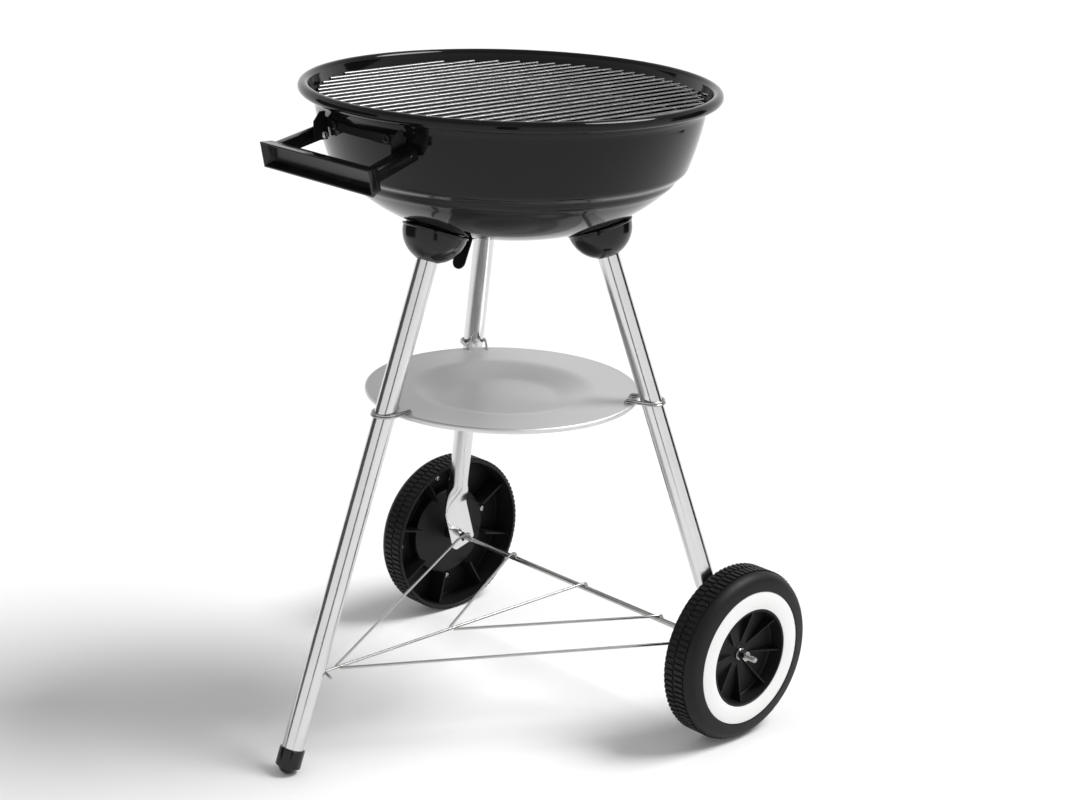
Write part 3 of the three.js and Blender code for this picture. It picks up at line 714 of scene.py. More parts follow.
# %% Bowl
def bowl_line():
    """The outer face of the wall, from the free edge of the roll to the middle of the bottom, in mm."""
    rim, curl = RIM_RADIUS / MM, CURL / MM
    roll = arc(rim - curl, 0, curl - SHEET / MM, -130, 172, 26)
    flare = bend(roll[-1], (199.4, -9.5), (197.0, -13), 8)
    wall = bend((197.0, -13), (192.6, -41), (182.2, -70), 12)
    shoulder = bend((182.2, -70), (180.8, -74.6), (176.2, -77.4), 6)
    step = bend((176.2, -77.4), (172.2, -79.8), (171.2, -82.6), 5)
    foot = bend((171.2, -82.6), (169.2, -87.6), (165.2, -90.3), 6)
    dome = arc(DOME_FLAT / MM, (DOME_RADIUS - BOWL_DEPTH) / MM, DOME_RADIUS / MM, -45.9, -90, 30)
    line = roll + flare[1:] + wall[1:] + shoulder[1:] + step[1:] + foot[1:] + dome[1:] + [(0, -143)]
    return [(r, z + RIM_Z / MM) for r, z in line]


def sheet_outline(line, thickness):
    inner = offset(line, thickness)
    inner[-1] = (0, inner[-1][1])
    return line[::-1] + inner


ON_BOWL = Matrix.Translation((0, AXIS_Y, 0))
bowl = turned("bowl_shell", sheet_outline(bowl_line(), SHEET / MM), 192, ON_BOWL)
VENT_ANGLE = math.radians(-85)
VENT_RADIUS = 6
VENT_CIRCLE = 21
vent_tools = [cylinder(
    f"vent_{i}", VENT_RADIUS, 0, 12, 32,
    Matrix.Translation((0, AXIS_Y, BOTTOM_Z - 6 * MM)) @ rotation(VENT_ANGLE + i * math.pi / 2, "Z")
    @ shift(VENT_CIRCLE),
) for i in range(4)]
cut(bowl, *vent_tools)
finished(bowl, "black_enamel", "bowl")
print("bowl reaches", [round(v, 4) for v in bowl.dimensions])

# %% [markdown]
# ## Leg sockets
#
# Each leg ends in a moulded half ball with a thin lip that lies on the bottom of the bowl. A sphere is
# the natural start. A solid of the bowl's own outer line cuts its upper side, so it hugs the dome, and a
# bored hole lets the tube in from below.


# %% Leg sockets
def bowl_solid():
    line = bowl_line()
    wall = [p for p in line[26:]]
    outer = offset(wall, -0.35)
    outer[-1] = (0, outer[-1][1])
    top = outer[0]
    return turned("bowl_solid", [(0, top[1]), *outer], 128, ON_BOWL)


SOCKET_RADIUS = 33


def make_socket(name, azimuth):
    crown = arc(0, 0, SOCKET_RADIUS, -68, -4, 22)
    outline = [
        (TUBE / MM + 0.3, 14), (TUBE / MM + 0.3, -30), (TUBE / MM + 1.3, -30.9), *crown,
        (SOCKET_RADIUS + 0.5, -1.6), (SOCKET_RADIUS + 1.2, -1.1), (SOCKET_RADIUS + 1.2, 0.3),
        (SOCKET_RADIUS + 0.7, 0.7), (SOCKET_RADIUS - 2, 1.4), (SOCKET_RADIUS - 8, 14), (TUBE / MM + 0.3, 14),
    ]
    socket = turned(f"socket_{name}", outline, 96, leg_matrix(azimuth))
    cut(socket, bowl_solid())
    return finished(socket, "black_plastic", f"leg_socket_{name}")


for leg_name, azimuth in LEG_ANGLES.items():
    make_socket(leg_name, azimuth)

# %% [markdown]
# ## Leg bolts and plugs
#
# Inside the bowl only the three bolt heads show. A pan head with a cross recess is turned and then cut.


# %% Leg bolts and plugs
def pan_head(name, shank, head, height, low, high, matrix):
    """A screw along z. Its head sits on z = high and its shank reaches down to z = low, in mm."""
    dome = bend((head, high + height * 0.35), (head * 0.9, high + height), (0, high + height), 8)
    outline = [(0, low), (shank - 0.4, low), (shank, low + 0.5), (shank, high), (head, high), *dome]
    screw = turned(name, outline, 32, matrix)
    for size in ((head * 1.1, head * 0.26, height), (head * 0.26, head * 1.1, height)):
        cut(screw, block(f"{name}_slot", size, (0, 0, high + height), matrix))
    return screw


for leg_name, azimuth in LEG_ANGLES.items():
    bolt = pan_head(f"bolt_{leg_name}", 3, 6, 3.2, -26, 2.2, leg_matrix(azimuth))
    finished(bolt, "zinc_steel", f"leg_bolt_{leg_name}")
    bore, skin = 3.3, TUBE / MM - 1.3
    plug = turned(f"plug_{leg_name}", [
        (bore, -22), (skin - 1, -22), (skin, -21), (skin, -9), (skin - 1, -8), (bore, -8), (bore, -22),
    ], 48, leg_matrix(azimuth))
    finished(plug, "black_plastic", f"leg_plug_{leg_name}")

# %% [markdown]
# ## Front leg and foot cap
#
# The front leg is a straight chromed tube. The foot cap is a moulded thimble with a round pad below it,
# cut flat where it stands on the floor.


# %% Front leg and foot cap
CAP_BALL = 11
CAP_RADIUS = 13
TUBE_TOP = -4.5
front = leg_matrix(LEG_ANGLES["front"])
cap_ball = along_leg(CAP_BALL * MM) / MM
tube_mm = TUBE / MM
front_leg = turned("front_leg", [
    (tube_mm - 1, cap_ball + 5), (tube_mm, cap_ball + 5), (tube_mm, TUBE_TOP), (tube_mm - 1, TUBE_TOP),
    (tube_mm - 1, cap_ball + 5),
], 64, front)
STEM_Z = AXLE_Z + AXLE_RADIUS + (0.3 + 1.5) * MM
stem_hole = cylinder("stem_hole", 1.8, 0, 30, 24, Matrix.Translation(
    (0, AXIS_Y - leg_radius_at(STEM_Z) + 2 * MM, STEM_Z)) @ rotation(math.radians(-90), "X"))
cut(front_leg, stem_hole)
finished(front_leg, "leg_chrome", "leg_tube_front")

cap_top = along_leg(25.5 * MM) / MM
foot = turned("foot", [
    (0, cap_ball + 4), (tube_mm + 0.3, cap_ball + 4), (tube_mm + 0.3, cap_top),
    *arc(CAP_RADIUS - 0.8, cap_top - 0.8, 0.8, 90, 0, 4),
    *arc(CAP_RADIUS - 1.6, cap_ball - 2.6, 1.6, 0, -75, 5), (10.4, cap_ball - 4.3),
    *arc(0, cap_ball - 1.2, 10.3, -20, -90, 16),
], 64, front)
edit_all(foot)
bpy.ops.mesh.bisect(plane_co=(0, 0, 0), plane_no=(0, 0, 1), use_fill=True, clear_inner=True, threshold=1e-6)
leave()
finished(foot, "black_plastic", "foot_cap")

# %% [markdown]
# ## Rear legs
#
# The lower end of a rear leg is the same tube pressed flat and bent upright. Rings that go from round to
# flat are bridged in a row, so the change is smooth, and the last ring is extruded into the ear. Its
# lower corners are cut off, and a wide axle hole and the slot above it are bored.

# %% Rear legs
FLATTEN_Z = 0.172
BEND_Z = 0.129
EAR_WIDTH, EAR_LENGTH, EAR_SHEET = 34, 50, 2.4
SIDES_OF_TUBE = 48

bend_radius = leg_radius_at(BEND_Z)
ear_place = Vector((
    bend_radius * math.cos(REAR_ANGLE), AXIS_Y + bend_radius * math.sin(REAR_ANGLE), BEND_Z))
ear_down = Vector((0, AXLE_Y - ear_place.y, AXLE_Z - ear_place.z)).normalized()
ear_across = Vector((0, -ear_down.z, ear_down.y))
ear_basis = Matrix((ear_across, ear_down, Vector((1, 0, 0)))).transposed().to_4x4()
EAR = Matrix.Translation(ear_place) @ ear_basis
tube_end = leg_matrix(REAR_ANGLE) @ Vector((0, 0, along_leg(FLATTEN_Z)))


def leg_ring(share):
    """One ring of the leg: round where share is 0, and a flat upright strip where it is 1."""
    ease = share * share * (3 - 2 * share)
    leg_basis = leg_matrix(REAR_ANGLE).to_3x3()
    thick = (leg_basis @ Vector((1, 0, 0))).lerp(Vector((1, 0, 0)), ease).normalized()
    across = (leg_basis @ Vector((0, 1, 0))).lerp(ear_across, ease)
    across = (across - across.project(thick)).normalized()
    centre = tube_end.lerp(ear_place, share)
    half_width = TUBE + (EAR_WIDTH / 2 * MM - TUBE) * ease
    half_sheet = TUBE + (EAR_SHEET / 2 * MM - TUBE) * ease
    bpy.ops.mesh.primitive_circle_add(vertices=SIDES_OF_TUBE, radius=1)
    ring = bpy.context.object
    for vertex in ring.data.vertices:     # the flatter the ring, the squarer its ends
        x = math.copysign(abs(vertex.co.x) ** (1 - 0.6 * ease), vertex.co.x) * half_sheet
        y = math.copysign(abs(vertex.co.y) ** (1 - 0.3 * ease), vertex.co.y) * half_width
        vertex.co = centre + thick * x + across * y
    return ring


def make_rear_leg():
    inside = leg_matrix(REAR_ANGLE)
    bpy.ops.mesh.primitive_circle_add(vertices=SIDES_OF_TUBE, radius=TUBE)
    leg = bpy.context.object
    leg.name = "rear_leg"
    place(leg, inside @ shift(0, 0, TUBE_TOP))
    join(leg, *[leg_ring(i / 12) for i in range(13)])
    edit_all(leg, "EDGE")
    bpy.ops.mesh.bridge_edge_loops(type="SINGLE")
    leave()

    edit(leg)
    select(leg, "vertices", lambda v: abs((EAR.inverted() @ v.co).y) < 0.02 * MM)
    bpy.ops.mesh.select_mode(type="EDGE")
    bpy.ops.mesh.extrude_edges_move(TRANSFORM_OT_translate={"value": ear_down * EAR_LENGTH * MM})
    bpy.ops.mesh.edge_face_add()
    for side in (-1, 1):
        for turn, inset in ((25, 2.2), (45, 3.2), (65, 2.2)):
            lean = math.radians(turn)
            normal = ear_across * side * math.cos(lean) + ear_down * math.sin(lean)
            reach = (ear_across * side * (EAR_WIDTH / 2) + ear_down * EAR_LENGTH) * MM
            corner = ear_place + reach - normal * inset * MM
            bpy.ops.mesh.select_all(action="SELECT")
            bpy.ops.mesh.bisect(
                plane_co=corner, plane_no=normal, use_fill=True, clear_outer=True, threshold=1e-6)
    leave()
    edit(leg)
    select(leg, "vertices", lambda v: abs((inside.inverted() @ v.co).z - TUBE_TOP * MM) < 0.05 * MM)
    bpy.ops.mesh.edge_face_add()
    leave()
    tidy_mesh(leg)
    bore = Matrix.Translation((ear_place.x - 10 * MM, AXLE_Y, AXLE_Z)) @ rotation(math.pi / 2, "Y")
    slot = Matrix.Translation(ear_down * 5.2 * MM)
    cut(leg, cylinder("axle_hole", 4.7, 0, 20, 40, bore))
    cut(leg, cylinder("key_hole", 2.2, 0, 20, 24, slot @ bore))
    return leg


right_leg = make_rear_leg()
print("rear leg", [round(v, 4) for v in right_leg.dimensions])
left_leg = copy_of(right_leg, "rear_leg_left", Matrix.Scale(-1, 4, (1, 0, 0)))
right_leg.name = "rear_leg_right"
finished(right_leg, "leg_chrome", "leg_tube_right", angle=40)
finished(left_leg, "leg_chrome", "leg_tube_left", angle=40)

# %% [markdown]
# ## Axle, washers and nuts
#
# The axle is one rod with a thread cut on each end. A thread has a long helix, but rings of the same
# pitch look the same at this size and close cleanly. A hexagon nut starts as a six-sided cylinder,
# whose corners a cone takes off on both sides.

# %% Axle
THREAD_PITCH = 1.0
THREAD_LENGTH = 20
ALONG_X = Matrix.Translation((0, AXLE_Y, AXLE_Z)) @ rotation(math.pi / 2, "Y")
core = AXLE_RADIUS / MM - 0.55
end_x = AXLE_END / MM


def thread(start, length, outer, inner, pitch):
    """The saw-tooth line of a thread along z, from start upwards."""
    points = []
    for i in range(int(length / pitch)):
        z = start + i * pitch
        points += [(inner, z), (inner, z + pitch * 0.12), (outer, z + pitch * 0.5), (outer, z + pitch * 0.62)]
    return points + [(inner, start + int(length / pitch) * pitch)]


tooth = thread(end_x - THREAD_LENGTH - 0.7, THREAD_LENGTH, AXLE_RADIUS / MM, core, THREAD_PITCH)
half_axle = [(AXLE_RADIUS / MM, 0), (AXLE_RADIUS / MM, tooth[0][1] - 0.6), *tooth, (core, end_x - 0.4),
             (core - 0.5, end_x), (0, end_x)]
mirrored = [(r, -z) for r, z in half_axle[:0:-1]]
axle = turned("axle_rod", mirrored + half_axle[1:], 40, ALONG_X)
finished(axle, "zinc_steel", "axle", angle=50)


# %% Washers and nuts
def washer(name, node, slot):
    low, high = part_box(node)
    centre = (low + high) / 2
    outer, half = (high.z - low.z) / 2 / MM, (high.x - low.x) / 2 / MM
    inner = AXLE_RADIUS / MM + 0.3
    outline = [(inner, -half), (outer - 0.3, -half), (outer, -half + 0.3), (outer, half - 0.3),
               (outer - 0.3, half), (inner, half), (inner, -half)]
    piece = turned(name, outline, 48, Matrix.Translation(centre) @ rotation(math.pi / 2, "Y"))
    return finished(piece, slot, node)


def nut(name, across_corners, bore, height, matrix):
    """A hexagon nut along z from 0 to its height, with both its ends chamfered. Sizes in mm."""
    body = cylinder(name, across_corners, 0, height, 6)
    edge, lead = across_corners + 0.01, across_corners * 0.12
    shaper = turned(f"{name}_shaper", [
        (0, -0.01), (edge * 0.9, -0.01), (edge, lead), (edge, height - lead), (edge * 0.9, height + 0.01),
        (0, height + 0.01)], 48)
    combine(body, shaper, "INTERSECT")
    cut(body, turned(f"{name}_bore", [
        (0, -1), (bore + 1, -1), (bore, 0.5), (bore, height - 0.5), (bore + 1, height + 1),
        (0, height + 1)], 32))
    return place(body, matrix)


for side_name, side in SIDES.items():
    washer(f"inner_washer_{side_name}", f"axle_inner_washer_{side_name}", "black_plastic")
    washer(f"hub_washer_{side_name}", f"axle_washer_{side_name}", "zinc_steel")
    low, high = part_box(f"axle_nut_{side_name}")
    start = Matrix.Translation((low.x, AXLE_Y, AXLE_Z)) @ rotation(math.pi / 2, "Y")
    hub_nut = nut(f"hub_nut_{side_name}", (high.z - low.z) / 2 / MM, AXLE_RADIUS / MM + 0.1,
                  (high.x - low.x) / MM, start @ rotation(math.radians(10), "Z"))
    finished(hub_nut, "zinc_steel", f"axle_nut_{side_name}", angle=25)

# %% [markdown]
# ## Wheels
#
# A wheel is one hollow moulding: a tyre with a tread, a web that carries the white ring, an outer pan
# round the hub with eight fins, and a deep open drum on the inner side with eight ribs. The section is
# spun with five faces for each lug, so the tread is made by raising three of every five. The fins and
# ribs are blocks that are joined on with a boolean.

# %% Wheel body
LUGS = 90
SEGMENTS = LUGS * 5
radius_mm = WHEEL_RADIUS / MM
LUG_HEIGHT = 1.5
tread_low, tread_gap_low, tread_gap_high, tread_high = 1.6, 12.8, 14.4, 26.5
web_top = WHEEL_WIDTH / MM - 4.3
web_bottom = web_top - 2.8
HUB_INSET = 15.9
hub_face = WHEEL_WIDTH / MM - HUB_INSET
pan_floor = hub_face - 1.1
BORE = AXLE_RADIUS / MM + 0.1
ring_in, ring_out = 53.4, RING_OUTER / MM
WHEEL_TURNS = {"left": math.radians(-8), "right": math.radians(16)}
base = radius_mm - LUG_HEIGHT


def wheel_outline():
    return [
        (BORE, -0.9), (8.6, -0.9), (9, -0.5), (9, pan_floor - 3.6), (9.6, pan_floor - 3),
        (51, pan_floor - 3), (51.6, pan_floor - 2.4), (51.6, web_bottom - 0.6), (52.2, web_bottom),
        (86.9, web_bottom), (87.5, web_bottom - 0.6), (87.5, 0.4), (87.9, 0),
        (base - 1.2, 0), (base - 0.3, 0.4), (base, 1.3),
        (base, tread_low), (base, tread_gap_low), (base - 0.4, tread_gap_low + 0.3),
        (base - 0.4, tread_gap_high - 0.3), (base, tread_gap_high), (base, tread_high),
        (base + 0.2, tread_high + 0.5),
        *bend((base + 0.2, tread_high + 1.2), (base - 1.2, WHEEL_WIDTH / MM - 4), (83, 37.6), 9),
        (ring_out + 1.2, WHEEL_WIDTH / MM - 0.3), (ring_out + 0.3, WHEEL_WIDTH / MM - 1.0),
        (ring_out + 0.3, web_top), (ring_in - 0.3, web_top), (ring_in - 0.3, WHEEL_WIDTH / MM - 1.3),
        *arc(51.9, WHEEL_WIDTH / MM - 1.7, 1.1, 90, 180, 4), (49.6, pan_floor + 1.2), (48.6, pan_floor + 0.3),
        (47, pan_floor), (10.4, pan_floor), (9.4, pan_floor + 0.4), (9, hub_face - 0.3), (8.7, hub_face),
        (BORE + 0.3, hub_face), (BORE, hub_face - 0.3), (BORE, -0.9),
    ]


def face_turn(face):
    centre = face.center
    return math.atan2(centre.y, centre.x) % (2 * math.pi)


def on_tread(face, low, high):
    radius = math.hypot(face.center.x, face.center.y)
    return radius > (base - 0.3) * MM and low * MM < face.center.z < high * MM


def make_wheel():
    wheel = turned("wheel", wheel_outline(), SEGMENTS)
    step = 2 * math.pi / SEGMENTS
    # The two rows are set half a pitch apart; a lug is three faces wide and a groove is two.
    rows = ((tread_low, tread_gap_low, 0), (tread_gap_high, tread_high, 2))
    edit(wheel, "FACE")
    count = select(wheel, "polygons", lambda f: any(
        on_tread(f, low, high) and (int(face_turn(f) / step) + shift) % 5 < 3 for low, high, shift in rows))
    bpy.ops.mesh.extrude_region_shrink_fatten(
        TRANSFORM_OT_shrink_fatten={"value": LUG_HEIGHT * MM})
    leave()
    print("tread faces raised", count)
    return wheel


def wheel_stiffeners():
    pieces = []
    for i in range(8):
        spin = rotation((2 * i + 1) * math.pi / 8, "Z")
        pieces.append(block(f"rib_{i}", (37, 1.8, 24), (69.6, 0, web_bottom - 11.6), spin))
        # A fin is a block whose inner upper edge is drawn down to the hub.
        fin = block(f"fin_{i}", (37.6, 1.4, 13), (31.4, 0, pan_floor + 6), spin)
        inverse = spin.inverted()
        for vertex in fin.data.vertices:
            local = inverse @ vertex.co
            if local.z > (pan_floor + 1) * MM and local.x < 31 * MM:
                local.z = (pan_floor + 0.5) * MM
                vertex.co = spin @ local
        pieces.append(fin)
    return join(*pieces)


wheel = make_wheel()
combine(wheel, wheel_stiffeners(), "UNION")
print("wheel", len(wheel.data.polygons), "faces")


# %% White rings, screws and the two wheels
def hub_matrix(side, turn):
    facing = rotation(side * math.pi / 2, "Y") @ rotation(turn, "Z")
    return Matrix.Translation((side * WHEEL_INNER, AXLE_Y, AXLE_Z)) @ facing


ring_mid = (ring_in + ring_out) / 2
width = WHEEL_WIDTH / MM
ring = turned("ring", [
    (ring_in, web_top + 0.3), (ring_out, web_top + 0.3), (ring_out, width - 1.3),
    *bend((ring_out - 0.1, width - 0.9), (ring_mid, width + 0.7), (ring_in + 0.1, width - 0.9), 12),
    (ring_in, width - 1.3), (ring_in, web_top + 0.3),
], 160)
SCREW_RADIUS = 64.5

for side_name, side in SIDES.items():
    body = f"wheel_{side_name}"
    hub = hub_matrix(side, WHEEL_TURNS[side_name])
    finished(copy_of(wheel, f"road_{body}", hub), "wheel_plastic", body, body, angle=30)
    finished(copy_of(ring, f"trim_ring_{side_name}", hub), "white_plastic", f"white_ring_{side_name}", body)
    for i in range(4):
        spin = rotation(i * math.pi / 2, "Z")
        seat = shift(SCREW_RADIUS, 0, web_bottom - 0.3)
        screw = pan_head(f"trim_screw_{side_name}_{i + 1}", 1.6, 4.4, 2.4, -4.4, 0,
                         hub @ spin @ seat @ rotation(math.pi, "X"))
        finished(screw, "zinc_steel", f"ring_screw_{side_name}_{i + 1}", body)
remove(wheel, ring)

# %% [markdown]
# ## Wire brace
#
# Five straight wires tie the front leg to the axle. Each ends in a hook bent over the axle, and the
# outer four start beside the stem, where they are spot-welded to it.

# %% Wire brace
BRACE_WIRE = 1.5 * MM


def hooked_path(start_x, start_y, end_x):
    reach = AXLE_RADIUS + CLEAR + BRACE_WIRE
    start = Vector((start_x, start_y, STEM_Z))
    turn = start.lerp(Vector((end_x, AXLE_Y, STEM_Z)), 0.95)
    turn.x = start_x + (end_x - start_x) * 0.97
    hook = [Vector((end_x, AXLE_Y + y, AXLE_Z + z)) for y, z in arc(0, 0, reach, 90, -50, 18)]
    return rounded([start, turn, hook[0]], 6 * MM)[:-1] + hook


in_tube = AXIS_Y - leg_radius_at(STEM_Z) + 4 * MM
stem = wire("stem", hooked_path(0, in_tube, 0), BRACE_WIRE, 12)
stop_y = AXIS_Y - leg_radius_at(STEM_Z) + TUBE / math.cos(LEG_TILT) + 3 * MM
stop_low = Vector((-7 * MM, stop_y, STEM_Z + 2 * MM))
stop_high = Vector((13 * MM, stop_y - MM, STEM_Z - 2.6 * MM))
combine(stem, wire("stop", [stop_low, stop_high], BRACE_WIRE, 12), "UNION")
finished(stem, "zinc_steel", "brace_stem", angle=40)

outer_low, outer_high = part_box("brace_outer_right")
inner_low, inner_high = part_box("brace_inner_right")
for side_name, side in SIDES.items():
    for kind, (low, high) in {"outer": (outer_low, outer_high), "inner": (inner_low, inner_high)}.items():
        path = hooked_path(side * (2 * BRACE_WIRE + CLEAR), low.y + 0.7 * MM, side * (high.x - BRACE_WIRE))
        finished(wire(f"brace_wire_{kind}_{side_name}", path, BRACE_WIRE, 12), "zinc_steel",
                 f"brace_{kind}_{side_name}", angle=40)

# %% [markdown]
# ## Ash plate
#
# The plate is a pressed round dish: a flat middle, a short slope, and a wide flat border whose edge is
# turned down. Three pairs of holes near the edge take the wire clips.

# %% Ash plate
plate_radius = (plate_high.x - plate_low.x) / 2 / MM
plate_z = plate_low.z / MM + 11
plate_line = [
    (plate_radius - 2.4, -2.8),
    *bend((plate_radius - 0.9, -2.6), (plate_radius, 1.2), (plate_radius - 3.4, 0.5), 8),
    (plate_radius - 8, 0.4), *bend((98, 0), (91, 0), (84.5, -2.4), 6),
    *bend((67.5, -8.6), (61, -11), (54, -11), 6), (0, -11),
]
plate_line = [(r, z + plate_z) for r, z in plate_line]
plate_inner = offset(plate_line, 1.0)
plate_inner[-1] = (0, plate_inner[-1][1])
plate = turned("plate", plate_line[::-1] + plate_inner, 144, ON_BOWL)
CLIP_HOLE = 134
CLIP_SIDE = 10
clip_tools = [cylinder(
    f"clip_hole_{name}_{side}", 2.3, -8, 8, 20,
    ON_BOWL @ rotation(azimuth, "Z") @ shift(CLIP_HOLE, side * CLIP_SIDE, plate_z),
) for name, azimuth in LEG_ANGLES.items() for side in (-1, 1)]
cut(plate, *clip_tools)
finished(plate, "satin_plate", "ash_plate", angle=40)

# %% [markdown]
# ## Plate clips
#
# Each clip is one wire bent double: two runs lie one above the other round the outside of the leg, and
# the ends go down through the plate.

# %% Plate clips
CLIP_WIRE = 1.15


def clip_path(level, leg):
    loop_radius = TUBE / MM / math.cos(LEG_TILT) + 0.6 + CLIP_WIRE
    loop = [(x, y, level) for x, y in arc(leg, 0, loop_radius, 88, -88, 24)]
    arm = [(CLIP_HOLE, CLIP_SIDE, level - 8), (CLIP_HOLE, CLIP_SIDE, level), (leg - 3, loop_radius, level)]
    back = [(x, -y, z) for x, y, z in reversed(arm)]
    return rounded([Vector(p) * MM for p in arm], 3 * MM) + [Vector(p) * MM for p in loop] + rounded(
        [Vector(p) * MM for p in back], 3 * MM)


clip_level = plate_z + 1 + 0.5 + CLIP_WIRE
for leg_name, azimuth in LEG_ANGLES.items():
    turn = ON_BOWL @ rotation(azimuth, "Z")
    runs = []
    for k in range(2):
        level = clip_level + k * 2 * CLIP_WIRE
        path = clip_path(level, leg_radius_at(level * MM) / MM)
        runs.append(place(wire(f"clip_{leg_name}_{k}", path, CLIP_WIRE * MM, 10), turn))
    clip = join(*runs)
    finished(clip, "zinc_steel", f"plate_clip_{leg_name}", angle=40)

# %% [markdown]
# ## Handle
#
# The handle is one moulding: a tray-shaped bar that is open to the front and a little smaller at its
# back, as a mould needs, and two arms that run back to the bowl. The bar starts as a block whose front
# face is inset and pushed in. The arms are joined on, and a bevel rounds all the edges.

# %% Handle
HANDLE_HALF = (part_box("handle")[1].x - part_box("handle")[0].x) / 2 / MM
HANDLE_REACH = 62.5
BAR_HEIGHT = 26
BAR_DEPTH = 12.5
DRAFT = 2.5
LIP = 1.8
ARM_HEIGHT = 13
HANDLE_TILT = math.radians(12)
HANDLE_DISTANCE = 190
HANDLE_DROP = 26.3
ARM_FRONT = (66.5, 79)            # inner and outer x of an arm where it meets the bar
ARM_BACK = (60, 72.5)             # and at its end on the strap's ear
GRIP_SCREW = Vector((0, -3, -8)) * MM
GRIP_PLACE = Vector((0, AXIS_Y - HANDLE_DISTANCE * MM, RIM_Z - HANDLE_DROP * MM))
GRIP = Matrix.Translation(GRIP_PLACE) @ rotation(HANDLE_TILT, "X")


def block_between(name, front, back):
    """A block between two upright rectangles (x0, x1, z0, z1, y), in mm."""
    piece = block(name, (2000, 2000, 2000), (0, 0, 0))
    for vertex in piece.data.vertices:
        x0, x1, z0, z1, y = front if vertex.co.y < 0 else back
        vertex.co = Vector((x1 if vertex.co.x > 0 else x0, y, z1 if vertex.co.z > 0 else z0)) * MM
    return piece


def make_handle():
    small, back_y = HANDLE_HALF - DRAFT, BAR_DEPTH - HANDLE_REACH
    bar = block_between(
        "handle_grip", (-HANDLE_HALF, HANDLE_HALF, -BAR_HEIGHT, 0, -HANDLE_REACH),
        (-small, small, DRAFT - BAR_HEIGHT, -DRAFT, back_y))
    top = -DRAFT - 0.4
    for side in (-1, 1):
        arm = block_between(
            f"arm_{side}", (*sorted(side * x for x in ARM_FRONT), top - ARM_HEIGHT, top, back_y - 1),
            (*sorted(side * x for x in ARM_BACK), -0.3 - ARM_HEIGHT, -0.3, 4))
        edit(arm, "EDGE")
        along = [e.index for e in arm.data.edges
                 if abs(arm.data.vertices[e.vertices[0]].co.y - arm.data.vertices[e.vertices[1]].co.y) > 0.02
                 and side * arm.data.vertices[e.vertices[0]].co.x > 0]
        outermost = max(along, key=lambda i: sum(
            side * arm.data.vertices[v].co.x + arm.data.vertices[v].co.z for v in arm.data.edges[i].vertices))
        select(arm, "edges", lambda e: e.index == outermost)
        bpy.ops.mesh.bevel(offset=5.5 * MM, segments=8)
        leave()
        combine(bar, arm, "UNION")
    tidy_mesh(bar)
    edit(bar, "FACE")
    select(bar, "polygons", lambda f: f.normal.y < -0.9 and f.center.y < -(HANDLE_REACH - 1) * MM)
    bpy.ops.mesh.inset(thickness=LIP * MM, depth=0)
    depth = BAR_DEPTH - 2.2
    bpy.ops.mesh.extrude_region_move(TRANSFORM_OT_translate={"value": (0, depth * MM, 0)})
    shrink = 1 - 2 * DRAFT / BAR_HEIGHT
    bpy.ops.transform.resize(value=(1 - DRAFT / HANDLE_HALF, 1, shrink), center_override=(
        0, 0, -BAR_HEIGHT / 2 * MM))
    leave()
    apply_modifier(
        bar, "BEVEL", width=0.7 * MM, segments=3, limit_method="ANGLE", angle_limit=math.radians(35))
    return place(bar, GRIP)


handle = make_handle()
screw_bores = cylinder("handle_bore", 2.3, -90, 90, 24, GRIP @ Matrix.Translation(GRIP_SCREW)
                       @ rotation(math.pi / 2, "Y"))
cut(handle, screw_bores)
finished(handle, "black_plastic", "handle", angle=38)

# %% [markdown]
# ## Handle strap and its fasteners
#
# A strip of steel curves along the wall under the rim. Its ends are folded out into ears, and the arms
# are screwed to them. Two bolts hold the strip to the bowl.

# %% Strap
STRAP_INNER = 196.2
STRAP_SHEET = 1.6
STRAP_Z = RIM_Z / MM - 23
STRAP_HALF = 4
EAR_X = 58
EAR_OUTLINE = [(187.5, -17), (187.5, 4.5), (191, 6), (191, 11), (197, 11), (204.5, 2), (204.5, -17)]
STRAP_BOLT_TURN = 0.2


def make_strap():
    half = math.asin(EAR_X / STRAP_INNER)
    turns = [half * (i / 16 - 1) for i in range(33)]
    inner = [Vector((STRAP_INNER * math.sin(a), -STRAP_INNER * math.cos(a), 0)) * MM for a in turns]
    scale = (STRAP_INNER + STRAP_SHEET) / STRAP_INNER
    middle = Vector((0, AXIS_Y, (STRAP_Z - STRAP_HALF) * MM))
    outline = [middle + p for p in inner] + [middle + p * scale for p in reversed(inner)]
    band = strip("strap", outline, (0, 0, 2 * STRAP_HALF * MM))
    for side in (-1, 1):
        x = (side * EAR_X - STRAP_SHEET / 2) * MM
        outline = [(x, AXIS_Y - out * MM, (STRAP_Z + up) * MM) for out, up in EAR_OUTLINE]
        combine(band, strip(f"ear_{side}", outline, (STRAP_SHEET * MM, 0, 0)), "UNION")
    return band


finished(make_strap(), "black_steel", "handle_strap", angle=30)

for side_name, side in SIDES.items():
    inset = Vector((side * (EAR_X - STRAP_SHEET / 2 - 0.3) * MM, 0, 0))
    seat = GRIP @ Matrix.Translation(GRIP_SCREW + inset)
    inward = seat @ rotation(-side * math.pi / 2, "Y")
    screw = pan_head(f"grip_screw_{side_name}", 2, 4.2, 2.4, -14, 0, inward)
    finished(screw, "zinc_steel", f"handle_screw_{side_name}")
    turn = ON_BOWL @ rotation(side * STRAP_BOLT_TURN, "Z") @ shift(0, 0, STRAP_Z)
    outward = turn @ rotation(math.pi / 2, "X")
    face = STRAP_INNER + STRAP_SHEET + 0.3
    bolt = pan_head(f"strap_screw_{side_name}", 2, 4.2, 2.4, 186.5, face, outward)
    finished(bolt, "black_steel", f"strap_bolt_{side_name}")
    inner_nut = nut(f"strap_hex_{side_name}", 4, 2.1, 3, outward @ shift(0, 0, 188.8))
    finished(inner_nut, "black_steel", f"strap_nut_{side_name}", angle=25)

